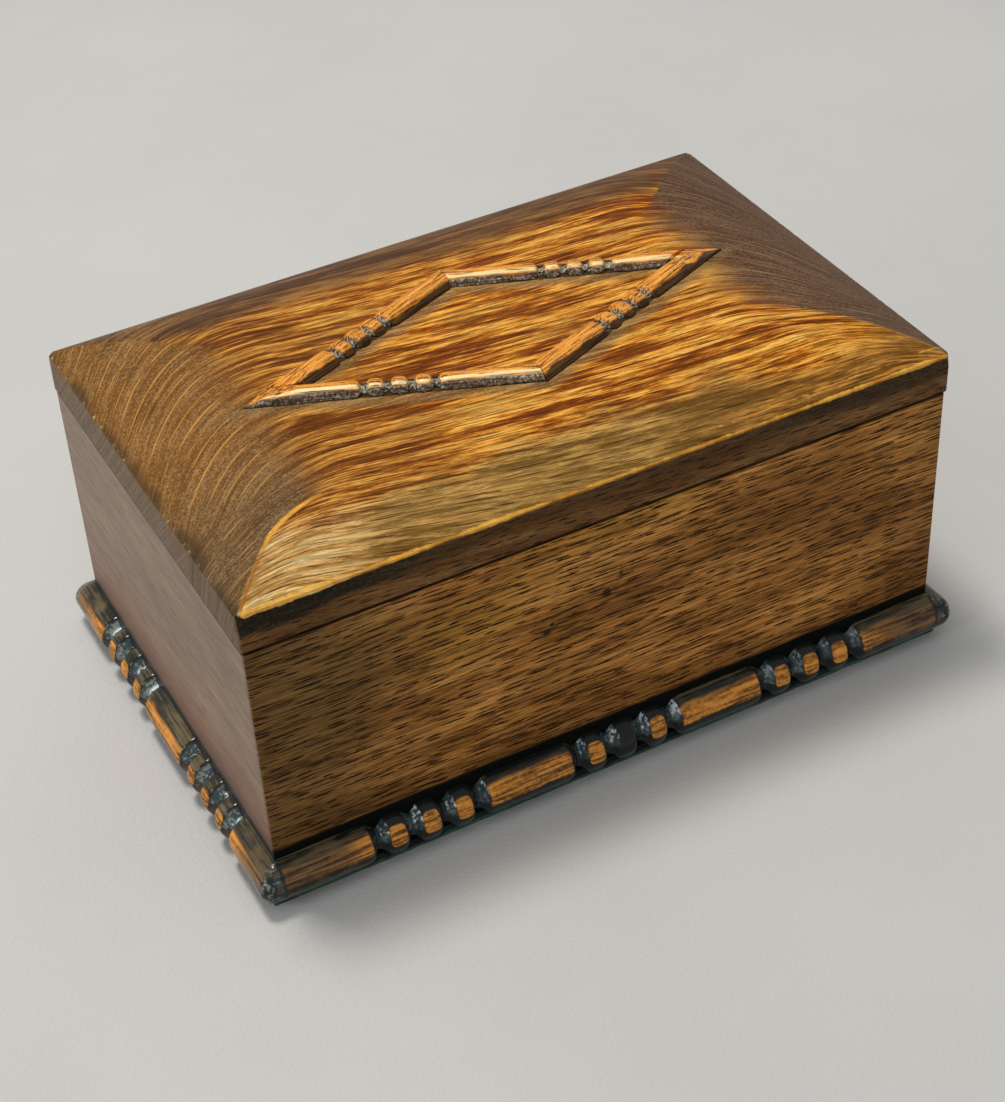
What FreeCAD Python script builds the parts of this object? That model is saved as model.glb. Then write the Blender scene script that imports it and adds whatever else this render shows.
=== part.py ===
import FreeCAD, Part
import math
import os
from FreeCAD import Vector

# Oak cigarette box with a pillow lid and split-turned mouldings, in millimetres.
# X runs along the front, Y runs to the back and Z is up.
# The origin is on the table, under the middle of the case.

# Case
body_length = 165.0
body_width = 105.0
rim_height = 67.5
wall_thickness = 7.0
corner_ease = 0.5
rim_chamfer = 0.4
bottom_thickness = 6.0
bottom_rebate = 3.5
bottom_clearance = 0.1

# Baize under the case
baize_thickness = 1.0
baize_margin = 1.8
baize_corner_ease = 1.0

# Lid
seam_gap = 0.3
lid_edge_height = 9.5
lid_overhang = 0.3
lid_crown_rise = 7.0
lid_slope_run = 24.0
lid_lower_chamfer = 0.7

# Split-turned moulding round the base
moulding_radius = 5.3
moulding_axis_inset = 0.5
moulding_corner_ease = 1.4
bead_count = 3
bead_pitch = 7.8
bead_group_spacing = 48.0
front_bead_group_count = 3
end_bead_group_count = 2
neck_width = 3.0
neck_depth = 2.0

# Lozenge of split-turned bars on the lid
lozenge_half_length = 51.0
lozenge_half_width = 21.5
bar_radius = 2.7
bar_axis_drop = 0.5
bar_bead_pitch = 5.0
bar_neck_width = 1.5
bar_neck_depth = 1.1

# Cedar lining and divider
lining_thickness = 2.5
lining_floor_thickness = 2.0
lining_drop = 3.0
lining_clearance = 0.1
divider_thickness = 3.0
divider_groove_depth = 1.2
divider_drop = 5.0
divider_dip_width = 50.0
divider_dip_depth = 12.0
divider_clearance = 0.1

# Stopped brass butt hinges
hinge_length = 25.0
hinge_setback = 32.5
hinge_open_angle = 100.0
hinge_stop_play = 0.5
leaf_thickness = 1.0
leaf_width = 6.2
leaf_clearance = 0.1
knuckle_radius = 1.8
knuckle_count = 3
knuckle_side_gap = 0.15
knuckle_clearance = 0.25
pin_radius = 0.9
pin_clearance = 0.05
stop_lug_reach = 3.4

# Hinge screws
screw_spacing = 15.0
screw_setback = 3.9
screw_length = 6.5
screw_radius = 0.9
screw_clearance = 0.05

# Places that follow from the sizes
half_length = body_length / 2
half_width = body_width / 2
case_foot_z = baize_thickness
cavity_floor_z = case_foot_z + bottom_thickness
lid_foot_z = rim_height + seam_gap
crown_z = lid_foot_z + lid_edge_height + lid_crown_rise
hinge_axis_z = rim_height + seam_gap / 2
knuckle_reach = knuckle_radius + knuckle_clearance
moulding_axis_z = case_foot_z + moulding_radius
lining_top_z = rim_height - lining_drop
lining_foot_z = cavity_floor_z + lining_floor_thickness
cavity_half_length = half_length - wall_thickness
cavity_half_width = half_width - wall_thickness

X_AXIS = Vector(1, 0, 0)
Y_AXIS = Vector(0, 1, 0)
Z_AXIS = Vector(0, 0, 1)


def save(shape, name):
    """Write one sub-part to its own file."""
    shape.exportStep("parts/" + name + ".step")


def block(x0, x1, y0, y1, z0, z1):
    """A box between two corners."""
    return Part.makeBox(x1 - x0, y1 - y0, z1 - z0, Vector(x0, y0, z0))


def prism(points, direction):
    """Extrude a closed outline of straight edges."""
    wire = Part.makePolygon(points + points[:1])
    return Part.Face(wire).extrude(direction)


def eased_block(half_x, half_y, z0, z1, ease):
    """An upright block about the Z axis with its four corners eased."""
    body = block(-half_x, half_x, -half_y, half_y, z0, z1)
    upright = [edge for edge in body.Edges if is_upright(edge)]
    return body.makeChamfer(ease, upright)


def is_upright(edge):
    """True for a straight edge that runs along Z."""
    first = edge.Vertexes[0].Point
    last = edge.Vertexes[-1].Point
    return (last - first).cross(Z_AXIS).Length < Part.Precision.confusion()


def edges_at(shape, z):
    """The edges that lie at one height."""
    tolerance = Part.Precision.confusion()
    box = lambda edge: edge.BoundBox
    return [e for e in shape.Edges if abs(box(e).ZMin - z) < tolerance and abs(box(e).ZMax - z) < tolerance]


def quarter(side):
    """The mitred share of the case, moulding included, that belongs to one side."""
    reach = moulding_radius * 2
    ridge = half_length - half_width
    outer = {
        "front": [(-1, -1), (1, -1)],
        "right": [(1, -1), (1, 1)],
        "back": [(1, 1), (-1, 1)],
        "left": [(-1, 1), (-1, -1)],
    }[side]
    corners = [Vector(sx * (half_length + reach), sy * (half_width + reach), 0) for sx, sy in outer]
    if side in ("front", "back"):
        corners += [Vector(outer[1][0] * ridge, 0, 0), Vector(outer[0][0] * ridge, 0, 0)]
    else:
        corners += [Vector(outer[0][0] * ridge, 0, 0)]
    return prism(corners, Z_AXIS * rim_height)


def neck_places(group_count, spacing, pitch):
    """Middles of the narrow necks that part a turning into bobbins and groups of beads."""
    groups = [(group - (group_count - 1) / 2) * spacing for group in range(group_count)]
    necks = [(neck - bead_count / 2) * pitch for neck in range(bead_count + 1)]
    return [group + neck for group in groups for neck in necks]


def turning(half_run, group_count):
    """A full turning along X, centred on the origin."""
    foot = moulding_radius - neck_depth
    points = [Vector(-half_run, 0, 0), Vector(-half_run, moulding_radius, 0)]
    for middle in neck_places(group_count, bead_group_spacing, bead_pitch):
        start = middle - neck_width / 2
        end = middle + neck_width / 2
        points += [Vector(start, moulding_radius, 0), Vector(start, foot, 0)]
        points += [Vector(end, foot, 0), Vector(end, moulding_radius, 0)]
    points += [Vector(half_run, moulding_radius, 0), Vector(half_run, 0, 0)]
    wire = Part.makePolygon(points + points[:1])
    return Part.Face(wire).revolve(Vector(), X_AXIS, 360)


def base_moulding(side):
    """Split turning glued along the foot of one side and mitred at both corners."""
    along_front = side in ("front", "back")
    half_side = half_length if along_front else half_width
    across = half_width if along_front else half_length
    group_count = front_bead_group_count if along_front else end_bead_group_count
    angle = {"front": 0, "right": 90, "back": 180, "left": 270}[side]
    bar = turning(half_side + moulding_radius, group_count)
    bar.translate(Vector(0, moulding_axis_inset - across, moulding_axis_z))
    bar.rotate(Vector(), Z_AXIS, angle)
    reach = moulding_radius - moulding_axis_inset
    outline = eased_block(half_length + reach, half_width + reach, 0, rim_height, moulding_corner_ease)
    core = block(-half_length, half_length, -half_width, half_width, 0, rim_height)
    return bar.common(outline.cut(core)).common(quarter(side))


def case_ring():
    """The four walls before they are parted at the mitres."""
    outer = eased_block(half_length, half_width, case_foot_z, rim_height, corner_ease)
    outer = outer.makeChamfer(rim_chamfer, edges_at(outer, rim_height))
    cavity = block(
        -cavity_half_length,
        cavity_half_length,
        -cavity_half_width,
        cavity_half_width,
        case_foot_z,
        rim_height,
    )
    rebate = block(
        -cavity_half_length - bottom_rebate,
        cavity_half_length + bottom_rebate,
        -cavity_half_width - bottom_rebate,
        cavity_half_width + bottom_rebate,
        case_foot_z,
        cavity_floor_z,
    )
    return outer.cut(cavity).cut(rebate)


def case_bottom():
    """Panel let into the rebate round the foot of the walls."""
    margin = bottom_rebate - bottom_clearance
    return block(
        -cavity_half_length - margin,
        cavity_half_length + margin,
        -cavity_half_width - margin,
        cavity_half_width + margin,
        case_foot_z,
        cavity_floor_z,
    )


def baize():
    """Cloth glued under the case and the inner part of the moulding."""
    reach_x = half_length + baize_margin
    reach_y = half_width + baize_margin
    return eased_block(reach_x, reach_y, 0, baize_thickness, baize_corner_ease)


def lid_profile(half_span, depth, direction):
    """Pillow section: upright edges, and arcs that run out level on the crown."""
    shoulder_z = crown_z - lid_crown_rise
    bend = (lid_slope_run**2 + lid_crown_rise**2) / (2 * lid_crown_rise)
    half_angle = math.asin(lid_slope_run / bend) / 2
    crown = half_span - lid_slope_run
    middle = crown + bend * math.sin(half_angle)
    middle_z = crown_z - bend * (1 - math.cos(half_angle))

    def at(across, z):
        return Vector(across, 0, z) if direction == Y_AXIS else Vector(0, across, z)

    edges = [
        Part.LineSegment(at(-half_span, lid_foot_z), at(half_span, lid_foot_z)).toShape(),
        Part.LineSegment(at(half_span, lid_foot_z), at(half_span, shoulder_z)).toShape(),
        Part.Arc(at(half_span, shoulder_z), at(middle, middle_z), at(crown, crown_z)).toShape(),
        Part.LineSegment(at(crown, crown_z), at(-crown, crown_z)).toShape(),
        Part.Arc(at(-crown, crown_z), at(-middle, middle_z), at(-half_span, shoulder_z)).toShape(),
        Part.LineSegment(at(-half_span, shoulder_z), at(-half_span, lid_foot_z)).toShape(),
    ]
    face = Part.Face(Part.Wire(edges))
    face.translate(direction * -depth)
    return face.extrude(direction * 2 * depth)


def lid_blank():
    """Solid slab with four rounded slopes that meet at curved hips."""
    half_x = half_length + lid_overhang
    half_y = half_width + lid_overhang / 2
    plan = eased_block(half_x, half_y, lid_foot_z, crown_z, corner_ease)
    plan = plan.makeChamfer(lid_lower_chamfer, edges_at(plan, lid_foot_z))
    pillow = lid_profile(half_x, half_y, Y_AXIS).common(lid_profile(half_y, half_x, X_AXIS))
    slab = plan.common(pillow)
    slab.translate(Vector(0, -lid_overhang / 2, 0))
    return slab


def bar_blank():
    """Half-round bar along X, cut across by V grooves that leave a group of beads in its middle."""
    half_run = math.hypot(lozenge_half_length, lozenge_half_width) / 2 + bar_radius * 4
    bar = Part.makeCylinder(bar_radius, half_run * 2, Vector(-half_run, 0, 0), X_AXIS)
    for middle in neck_places(1, 0, bar_bead_pitch):
        foot = Vector(middle, -bar_radius, bar_radius - bar_neck_depth)
        left = Vector(middle - bar_neck_width / 2, -bar_radius, bar_radius)
        right = Vector(middle + bar_neck_width / 2, -bar_radius, bar_radius)
        bar = bar.cut(prism([left, foot, right], Y_AXIS * bar_radius * 2))
    return bar


def lozenge_bar(side_x, side_y):
    """Bar glued on the crown, mitred to its neighbours."""
    bar = bar_blank()
    slant = math.degrees(math.atan2(-side_y * lozenge_half_width, side_x * lozenge_half_length))
    bar.rotate(Vector(), Z_AXIS, slant)
    middle_x = side_x * lozenge_half_length / 2
    middle_y = side_y * lozenge_half_width / 2
    bar.translate(Vector(middle_x, middle_y, crown_z - bar_axis_drop))
    reach_x = side_x * half_length
    reach_y = side_y * half_width
    room = block(
        min(0, reach_x), max(0, reach_x), min(0, reach_y), max(0, reach_y), crown_z, crown_z + bar_radius
    )
    bar = bar.common(room)
    bar.translate(Vector(0, -lid_overhang / 2, 0))
    return bar


def lining_floor():
    """Thin cedar board on the bottom of the case."""
    reach_x = cavity_half_length - lining_clearance
    reach_y = cavity_half_width - lining_clearance
    return block(-reach_x, reach_x, -reach_y, reach_y, cavity_floor_z, lining_foot_z)


def divider_groove():
    """Room for the divider's two edges in the front and back linings."""
    half = divider_thickness / 2 + divider_clearance
    reach = cavity_half_width - lining_thickness + divider_groove_depth
    return block(-half, half, -reach, reach, lining_foot_z, lining_top_z)


def lining_long(side_y):
    """Front or back lining, grooved for the divider."""
    reach = cavity_half_length - lining_clearance
    outer = side_y * (cavity_half_width - lining_clearance)
    inner = side_y * (cavity_half_width - lining_thickness)
    board = block(-reach, reach, min(outer, inner), max(outer, inner), lining_foot_z, lining_top_z)
    return board.cut(divider_groove())


def lining_short(side_x):
    """End lining, held between the long ones."""
    reach = cavity_half_width - lining_thickness - lining_clearance
    outer = side_x * (cavity_half_length - lining_clearance)
    inner = side_x * (cavity_half_length - lining_thickness)
    return block(min(outer, inner), max(outer, inner), -reach, reach, lining_foot_z, lining_top_z)


def divider():
    """Cross board with a dip for the fingers."""
    half = divider_thickness / 2
    reach = cavity_half_width - lining_thickness + divider_groove_depth - divider_clearance
    top = lining_top_z - divider_drop
    board = block(-half, half, -reach, reach, lining_foot_z, top)
    half_dip = divider_dip_width / 2
    radius = (half_dip**2 + divider_dip_depth**2) / (2 * divider_dip_depth)
    centre = Vector(-half, 0, top + radius - divider_dip_depth)
    return board.cut(Part.makeCylinder(radius, divider_thickness, centre, X_AXIS))


def knuckle_span(index):
    """Start and end of one knuckle along the hinge, from the hinge's middle."""
    pitch = hinge_length / knuckle_count
    start = index * pitch - hinge_length / 2
    first_gap = knuckle_side_gap / 2 if index > 0 else 0
    last_gap = knuckle_side_gap / 2 if index < knuckle_count - 1 else 0
    return start + first_gap, start + pitch - last_gap


def barrel(x0, x1, radius):
    """A round length on the hinge axis."""
    return Part.makeCylinder(radius, x1 - x0, Vector(x0, 0, 0), X_AXIS)


def knuckle_room(x0, x1):
    """Square room about the hinge axis for knuckles to turn in."""
    return block(x0, x1, -knuckle_reach, knuckle_reach, -knuckle_reach, knuckle_reach)


def stop_lug(x0, x1, upward):
    """Wedge behind the knuckles whose flat face stops the lid a little past upright."""
    face_angle = math.radians((hinge_open_angle + hinge_stop_play) / 2)
    tip = Vector(0, stop_lug_reach * math.cos(face_angle), upward * stop_lug_reach * math.sin(face_angle))
    points = [Vector(), tip, Vector(0, 0, upward * stop_lug_reach)]
    lug = prism(points, X_AXIS * (x1 - x0))
    lug.translate(Vector(x0, 0, 0))
    return lug


def leaf_plate(upward, width, length, thickness):
    """The flat of a leaf beside the seam, with the hinge axis as origin."""
    near = upward * seam_gap / 2
    far = near + upward * thickness
    return block(-length / 2, length / 2, -width, 0, min(near, far), max(near, far))


def hinge_leaf(upward):
    """One brass leaf with its knuckles and stop lugs, the hinge's middle as origin."""
    first = 1 if upward > 0 else 0
    own = range(first, knuckle_count, 2)
    others = range(1 - first, knuckle_count, 2)
    leaf = leaf_plate(upward, leaf_width, hinge_length, leaf_thickness)
    if upward < 0:
        leaf = leaf.fuse(stop_lug(-hinge_length / 2, hinge_length / 2, upward))
    for index in others:
        x0, x1 = knuckle_span(index)
        x0 -= knuckle_side_gap if index > 0 else 0
        x1 += knuckle_side_gap if index < knuckle_count - 1 else 0
        leaf = leaf.cut(knuckle_room(x0, x1))
    for index in own:
        x0, x1 = knuckle_span(index)
        leaf = leaf.fuse(barrel(x0, x1, knuckle_radius))
        if upward > 0:
            leaf = leaf.fuse(stop_lug(x0, x1, upward))
    leaf = leaf.cut(barrel(-hinge_length, hinge_length, pin_radius + pin_clearance))
    for place in screw_places():
        leaf = leaf.cut(screw(place, upward, screw_clearance))
    return leaf.removeSplitter()


def screw_places():
    """Where a leaf's screws stand along the hinge."""
    return (-screw_spacing / 2, screw_spacing / 2)


def screw(place, upward, clearance):
    """Screw shank, flush with the seam face of its leaf."""
    start = Vector(place, -screw_setback, upward * seam_gap / 2)
    return Part.makeCylinder(screw_radius + clearance, screw_length + clearance, start, Z_AXIS * upward)


def hinge_pin():
    """Brass pin through all the knuckles."""
    return barrel(-hinge_length / 2, hinge_length / 2, pin_radius)


def hinge_mortise():
    """Room in the wood for one hinge: its barrel, and both leaves."""
    length = hinge_length + 2 * leaf_clearance
    room = knuckle_room(-length / 2, length / 2)
    for upward in (-1, 1):
        room = room.fuse(leaf_plate(upward, leaf_width + leaf_clearance, length, leaf_thickness))
        for place in screw_places():
            room = room.fuse(screw(place, upward, screw_clearance))
    return room


def at_hinge(shape, side_x):
    """Move a shape from the hinge's own origin to its place on the back."""
    moved = shape.copy()
    moved.translate(Vector(side_x * (half_length - hinge_setback), half_width, hinge_axis_z))
    return moved


def hinge_rooms():
    """Both hinge mortises in place."""
    return at_hinge(hinge_mortise(), -1).fuse(at_hinge(hinge_mortise(), 1))


def screw_group(upward):
    """All the screws that hold the leaves of one side of the seam."""
    screws = [screw(place, upward, 0) for place in screw_places()]
    return Part.makeCompound([at_hinge(s, side) for side in (-1, 1) for s in screws])


def build_case():
    ring = case_ring()
    rooms = hinge_rooms()
    names = {"front": "front_panel", "right": "right_end", "back": "back_panel", "left": "left_end"}
    for side, name in names.items():
        panel = ring.common(quarter(side))
        if side == "back":
            panel = panel.cut(rooms)
        save(panel, name)
        save(base_moulding(side), "base_moulding_" + side)
    save(case_bottom(), "bottom_panel")
    save(baize(), "baize")


def build_lining():
    save(lining_floor(), "lining_floor")
    save(lining_long(-1), "lining_front")
    save(lining_long(1), "lining_back")
    save(lining_short(-1), "lining_left")
    save(lining_short(1), "lining_right")
    save(divider(), "divider")


def build_lid():
    save(lid_blank().cut(hinge_rooms()), "lid_slab")
    for side_y, row in ((-1, "front"), (1, "back")):
        for side_x, column in ((-1, "left"), (1, "right")):
            save(lozenge_bar(side_x, side_y), "lozenge_bar_" + row + "_" + column)


def build_hinges():
    for side_x, name in ((-1, "hinge_left"), (1, "hinge_right")):
        save(at_hinge(hinge_leaf(-1), side_x), name + "_case_leaf")
        save(at_hinge(hinge_leaf(1), side_x), name + "_lid_leaf")
        save(at_hinge(hinge_pin(), side_x), name + "_pin")
    save(screw_group(-1), "case_hinge_screws")
    save(screw_group(1), "lid_hinge_screws")


os.makedirs("parts", exist_ok=True)
build_case()
build_lining()
build_lid()
build_hinges()
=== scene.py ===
import math
import random

import bpy
from bpy.props import FloatProperty, FloatVectorProperty, IntProperty, PointerProperty
from mathutils import Matrix, Vector


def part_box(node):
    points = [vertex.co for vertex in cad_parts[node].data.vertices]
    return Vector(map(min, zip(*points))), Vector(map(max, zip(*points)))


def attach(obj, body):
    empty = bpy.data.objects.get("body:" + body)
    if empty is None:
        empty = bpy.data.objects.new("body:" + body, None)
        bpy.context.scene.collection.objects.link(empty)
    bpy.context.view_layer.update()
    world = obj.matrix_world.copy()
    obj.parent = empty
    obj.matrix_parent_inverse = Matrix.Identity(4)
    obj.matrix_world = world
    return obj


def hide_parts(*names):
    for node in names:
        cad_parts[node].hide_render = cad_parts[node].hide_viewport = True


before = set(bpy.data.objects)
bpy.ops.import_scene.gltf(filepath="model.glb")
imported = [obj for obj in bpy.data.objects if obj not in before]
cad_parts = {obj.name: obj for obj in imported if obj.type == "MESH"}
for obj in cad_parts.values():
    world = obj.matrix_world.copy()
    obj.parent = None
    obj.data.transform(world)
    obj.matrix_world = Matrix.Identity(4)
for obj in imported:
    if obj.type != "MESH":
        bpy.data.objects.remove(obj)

bl_info = {
    "name": "Oak Cigarette Box",
    "version": (1, 0, 0),
    "blender": (4, 5, 0),
    "location": "View3D > Sidebar > Oak Box",
    "description": "Dresses the jointed oak box with turned mouldings, a worn lid, baize and brass",
    "category": "Add Mesh",
}

MM = 0.001
LID_LOW, LID_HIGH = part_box("lid_slab")
CASE_LOW, CASE_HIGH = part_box("front_panel")
BACK_LOW, BACK_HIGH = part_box("back_panel")
END_LOW, END_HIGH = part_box("left_end")
MOULDING_LOW, MOULDING_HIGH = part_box("base_moulding_front")
LEFT_LOW, LEFT_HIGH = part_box("base_moulding_left")
BAIZE_LOW, BAIZE_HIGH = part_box("baize")
BAR_LOW, BAR_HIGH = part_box("lozenge_bar_back_right")
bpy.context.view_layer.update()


# Sizes and colours that a user would change

def length(name, description, default):
    """A length property in metres, given in millimetres."""
    return FloatProperty(name=name, description=description, default=default * MM, min=0, unit="LENGTH", precision=5)


def colour(name, description, default):
    """A colour property."""
    return FloatVectorProperty(name=name, description=description, default=default, subtype="COLOR", min=0, max=1, size=3)


class StageSettings(bpy.types.PropertyGroup):
    """Camera, lamp and floor."""
    lens: FloatProperty(name="Lens", description="Focal length of the camera", default=73.73, min=10, unit="CAMERA")
    lamp_power: FloatProperty(name="Lamp power", description="Power of the large overhead lamp", default=6.6, min=0, unit="POWER")
    side_power: FloatProperty(name="Side power", description="Power of the cool lamp on the left", default=1.1, min=0, unit="POWER")
    lamp_size: length("Lamp size", "Side of each square lamp", 240)
    world_strength: FloatProperty(name="World strength", description="Strength of the even light from all round", default=0.45, min=0)
    floor: colour("Floor", "Cloth that the box stands on", (0.63, 0.61, 0.58))


class PanelSettings(bpy.types.PropertyGroup):
    """Oak of the four sides and the bottom."""
    brown: colour("Brown", "Stained oak between the pores", (0.50, 0.200, 0.042))
    light: colour("Light brown", "Paler figure in the stained oak", (0.66, 0.295, 0.072))
    pore: colour("Pore", "Stain held in the open pores", (0.014, 0.007, 0.003))
    # The ends' two colours are paler and greyer than the long sides': the stained oak with a painted sheen.
    end_brown_and_sheen: colour("End brown", "Stained oak of the two ends", (0.26, 0.150, 0.082))
    end_light_and_sheen: colour("End light brown", "Paler figure of the two ends", (0.33, 0.205, 0.122))
    raw: colour("Raw oak", "Unstained oak of the bottom board", (0.35, 0.22, 0.11))


class MouldingSettings(bpy.types.PropertyGroup):
    """Split turning round the base."""
    bead_pitch: length("Bead pitch", "Distance from bead to bead", 7.8)
    group_spacing: length("Group spacing", "Distance from one group of beads to the next", 48)
    corner_wear: length("Corner wear", "Radius worn on the mitred corners", 2.6)
    wobble: length("Wobble", "Unevenness of the hand turning", 0.25)
    facets: IntProperty(name="Facets", description="Steps round the turning", default=48, min=12, max=96)
    rubbed: colour("Rubbed", "Orange wood where the stain is worn off", (0.66, 0.25, 0.026))
    dark: colour("Dark", "Stain and wax left in the hollows", (0.010, 0.013, 0.011))
    # Partly a grey film of wax, partly a painted sheen on the flanks of the hollows.
    bloom_and_sheen: colour("Bloom", "Grey bloom on the wax in the hollows", (0.060, 0.092, 0.097))


class LidSettings(bpy.types.PropertyGroup):
    """Pillow-shaped lid."""
    slope_run: length("Slope run", "Width of each rounded slope", 24)
    crown_rise: length("Crown rise", "Height of the crown over the upright edge", 7)
    planed_facets: IntProperty(name="Planed facets", description="Strokes of the plane on each slope", default=14, min=3, max=40)
    arris: length("Arris", "Worn width of the top edge", 0.5)
    lower_chamfer: length("Lower chamfer", "Chamfer over the seam", 0.35)
    corner: length("Corner", "Rounding of the upright corners", 0.6)
    corner_wear: length("Corner wear", "Wood worn off each top corner", 0.8)


class LozengeSettings(bpy.types.PropertyGroup):
    """Split-turned bars on the lid."""
    axis_drop: length("Axis drop", "How far the bars' axis lies under the crown", 0.5)
    bead_pitch: length("Bead pitch", "Distance from bead to bead", 5)
    group_shift: length("Group shift", "How far the beads lie from the middle of a bar towards its outer end", 1.3)
    wobble: length("Wobble", "Unevenness of the hand turning", 0.16)
    rubbed: colour("Rubbed", "Orange wood on the bars' backs", (0.80, 0.275, 0.024))


class BaizeSettings(bpy.types.PropertyGroup):
    """Cloth glued under the case."""
    thickness: length("Thickness", "Thickness of the cloth", 0.9)
    green: colour("Green", "Dye of the baize", (0.010, 0.12, 0.060))


class LiningSettings(bpy.types.PropertyGroup):
    """Cedar inside the case."""
    cedar: colour("Cedar", "Bare cedar", (0.46, 0.22, 0.11))


class HingeSettings(bpy.types.PropertyGroup):
    """Brass hinges and their screws."""
    head_radius: length("Head radius", "Radius of a screw's head", 1.5)
    slot_width: length("Slot width", "Width of the slot in a screw's head", 0.4)
    brass: colour("Brass", "Aged brass", (0.50, 0.34, 0.13))


# Modelling helpers

def clear_selection():
    """Leave edit mode with nothing selected."""
    if bpy.context.object and bpy.context.object.mode != "OBJECT":
        bpy.ops.object.mode_set(mode="OBJECT")
    bpy.ops.object.select_all(action="DESELECT")


def pick(piece):
    """Make one piece the only selected one."""
    clear_selection()
    piece.select_set(True)
    bpy.context.view_layer.objects.active = piece


def edit_all(piece):
    """Open a piece in edit mode with all of it selected."""
    pick(piece)
    bpy.ops.object.mode_set(mode="EDIT")
    bpy.ops.mesh.select_mode(type="VERT")
    bpy.ops.mesh.select_all(action="SELECT")


def leave_edit():
    """Back to object mode."""
    bpy.ops.object.mode_set(mode="OBJECT")


def named(name):
    """Name the new object and its mesh, with its place put into the mesh."""
    piece = bpy.context.object
    piece.name = name
    piece.data.name = name
    bpy.ops.object.transform_apply(location=True, rotation=True, scale=True)
    return piece


def blank(name, low, high):
    """A squared piece of wood between two corners, to be shaped further."""
    clear_selection()
    middle = [(a + b) / 2 for a, b in zip(low, high)]
    size = [b - a for a, b in zip(low, high)]
    bpy.ops.mesh.primitive_cube_add(size=1, location=middle, scale=size)
    return named(name)


def saw(piece, cuts, keep_both=False):
    """Cut a piece by planes, each a point and an outward normal."""
    edit_all(piece)
    for point, normal in cuts:
        bpy.ops.mesh.select_all(action="SELECT")
        bpy.ops.mesh.bisect(
            plane_co=point, plane_no=normal, use_fill=not keep_both, clear_outer=not keep_both, threshold=1e-7
        )
    leave_edit()


def close_up(piece):
    """Merge doubles and point all faces outwards."""
    edit_all(piece)
    bpy.ops.mesh.remove_doubles(threshold=2e-6)
    bpy.ops.mesh.normals_make_consistent(inside=False)
    leave_edit()


def select_edges(piece, wanted):
    """Select the edges of a piece whose two ends pass a test, and open it in edit mode."""
    pick(piece)
    bpy.ops.object.mode_set(mode="EDIT")
    bpy.ops.mesh.select_mode(type="EDGE")
    bpy.ops.mesh.select_all(action="DESELECT")
    leave_edit()
    mesh = piece.data
    for edge in mesh.edges:
        a, b = (mesh.vertices[i].co for i in edge.vertices)
        edge.select = wanted(a, b)
    bpy.ops.object.mode_set(mode="EDIT")


def apply_modifier(piece, kind, **settings):
    """Add one modifier, set it and apply it."""
    pick(piece)
    bpy.ops.object.modifier_add(type=kind)
    modifier = piece.modifiers[-1]
    for name, value in settings.items():
        setattr(modifier, name, value)
    bpy.ops.object.modifier_apply(modifier=modifier.name)


def cut_away(piece, cutter):
    """Take one solid out of a piece and throw the cutter away."""
    apply_modifier(piece, "BOOLEAN", operation="DIFFERENCE", solver="EXACT", object=cutter)
    bpy.data.objects.remove(cutter)


def shade(piece, degrees=35):
    """Smooth shading up to an angle."""
    pick(piece)
    bpy.ops.object.shade_smooth_by_angle(angle=math.radians(degrees))


def turn(piece, quarter_turns):
    """Turn a piece about the upright axis by quarter turns."""
    edit_all(piece)
    bpy.ops.transform.rotate(value=quarter_turns * math.pi / 2, orient_axis="Z", center_override=(0, 0, 0))
    leave_edit()


def shift(piece, by):
    """Move a piece inside its own mesh."""
    edit_all(piece)
    bpy.ops.transform.translate(value=by)
    leave_edit()


def copy_of(piece, name):
    """A copy of a piece with a mesh of its own."""
    pick(piece)
    bpy.ops.object.duplicate(linked=False)
    twin = bpy.context.object
    twin.name = name
    twin.data.name = name
    return twin


def wobble(piece, size, strength, seed):
    """Hand-made unevenness, pressed in along the normals."""
    texture = bpy.data.textures.new("wobble", "CLOUDS")
    texture.noise_scale = size
    texture.noise_depth = 1
    empty_place = Vector((seed * 0.37, seed * 0.21, seed * 0.13))
    shift(piece, empty_place)
    apply_modifier(piece, "DISPLACE", texture=texture, texture_coords="LOCAL", strength=strength, mid_level=0.85)
    shift(piece, -empty_place)
    bpy.data.textures.remove(texture)


def fit(piece, body, slot, *nodes):
    """Let a finished piece ride on its body and stand for its nodes."""
    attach(piece, body)
    if nodes:
        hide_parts(*nodes)


def coat(piece, material):
    """Give a piece its one finish."""
    piece.data.materials.clear()
    piece.data.materials.append(material)


# Materials

class Value:
    """A socket that can be used in sums."""

    def __init__(self, finish, socket):
        self.finish = finish
        self.socket = socket

    def __add__(self, other):
        return self.finish.sum("ADD", self, other)

    __radd__ = __add__

    def __sub__(self, other):
        return self.finish.sum("SUBTRACT", self, other)

    def __rsub__(self, other):
        return self.finish.sum("SUBTRACT", other, self)

    def __mul__(self, other):
        return self.finish.sum("MULTIPLY", self, other)

    __rmul__ = __mul__

    def __truediv__(self, other):
        return self.finish.sum("DIVIDE", self, other)

    def __rtruediv__(self, other):
        return self.finish.sum("DIVIDE", other, self)

    def __pow__(self, other):
        return self.finish.sum("POWER", self, other)


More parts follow.
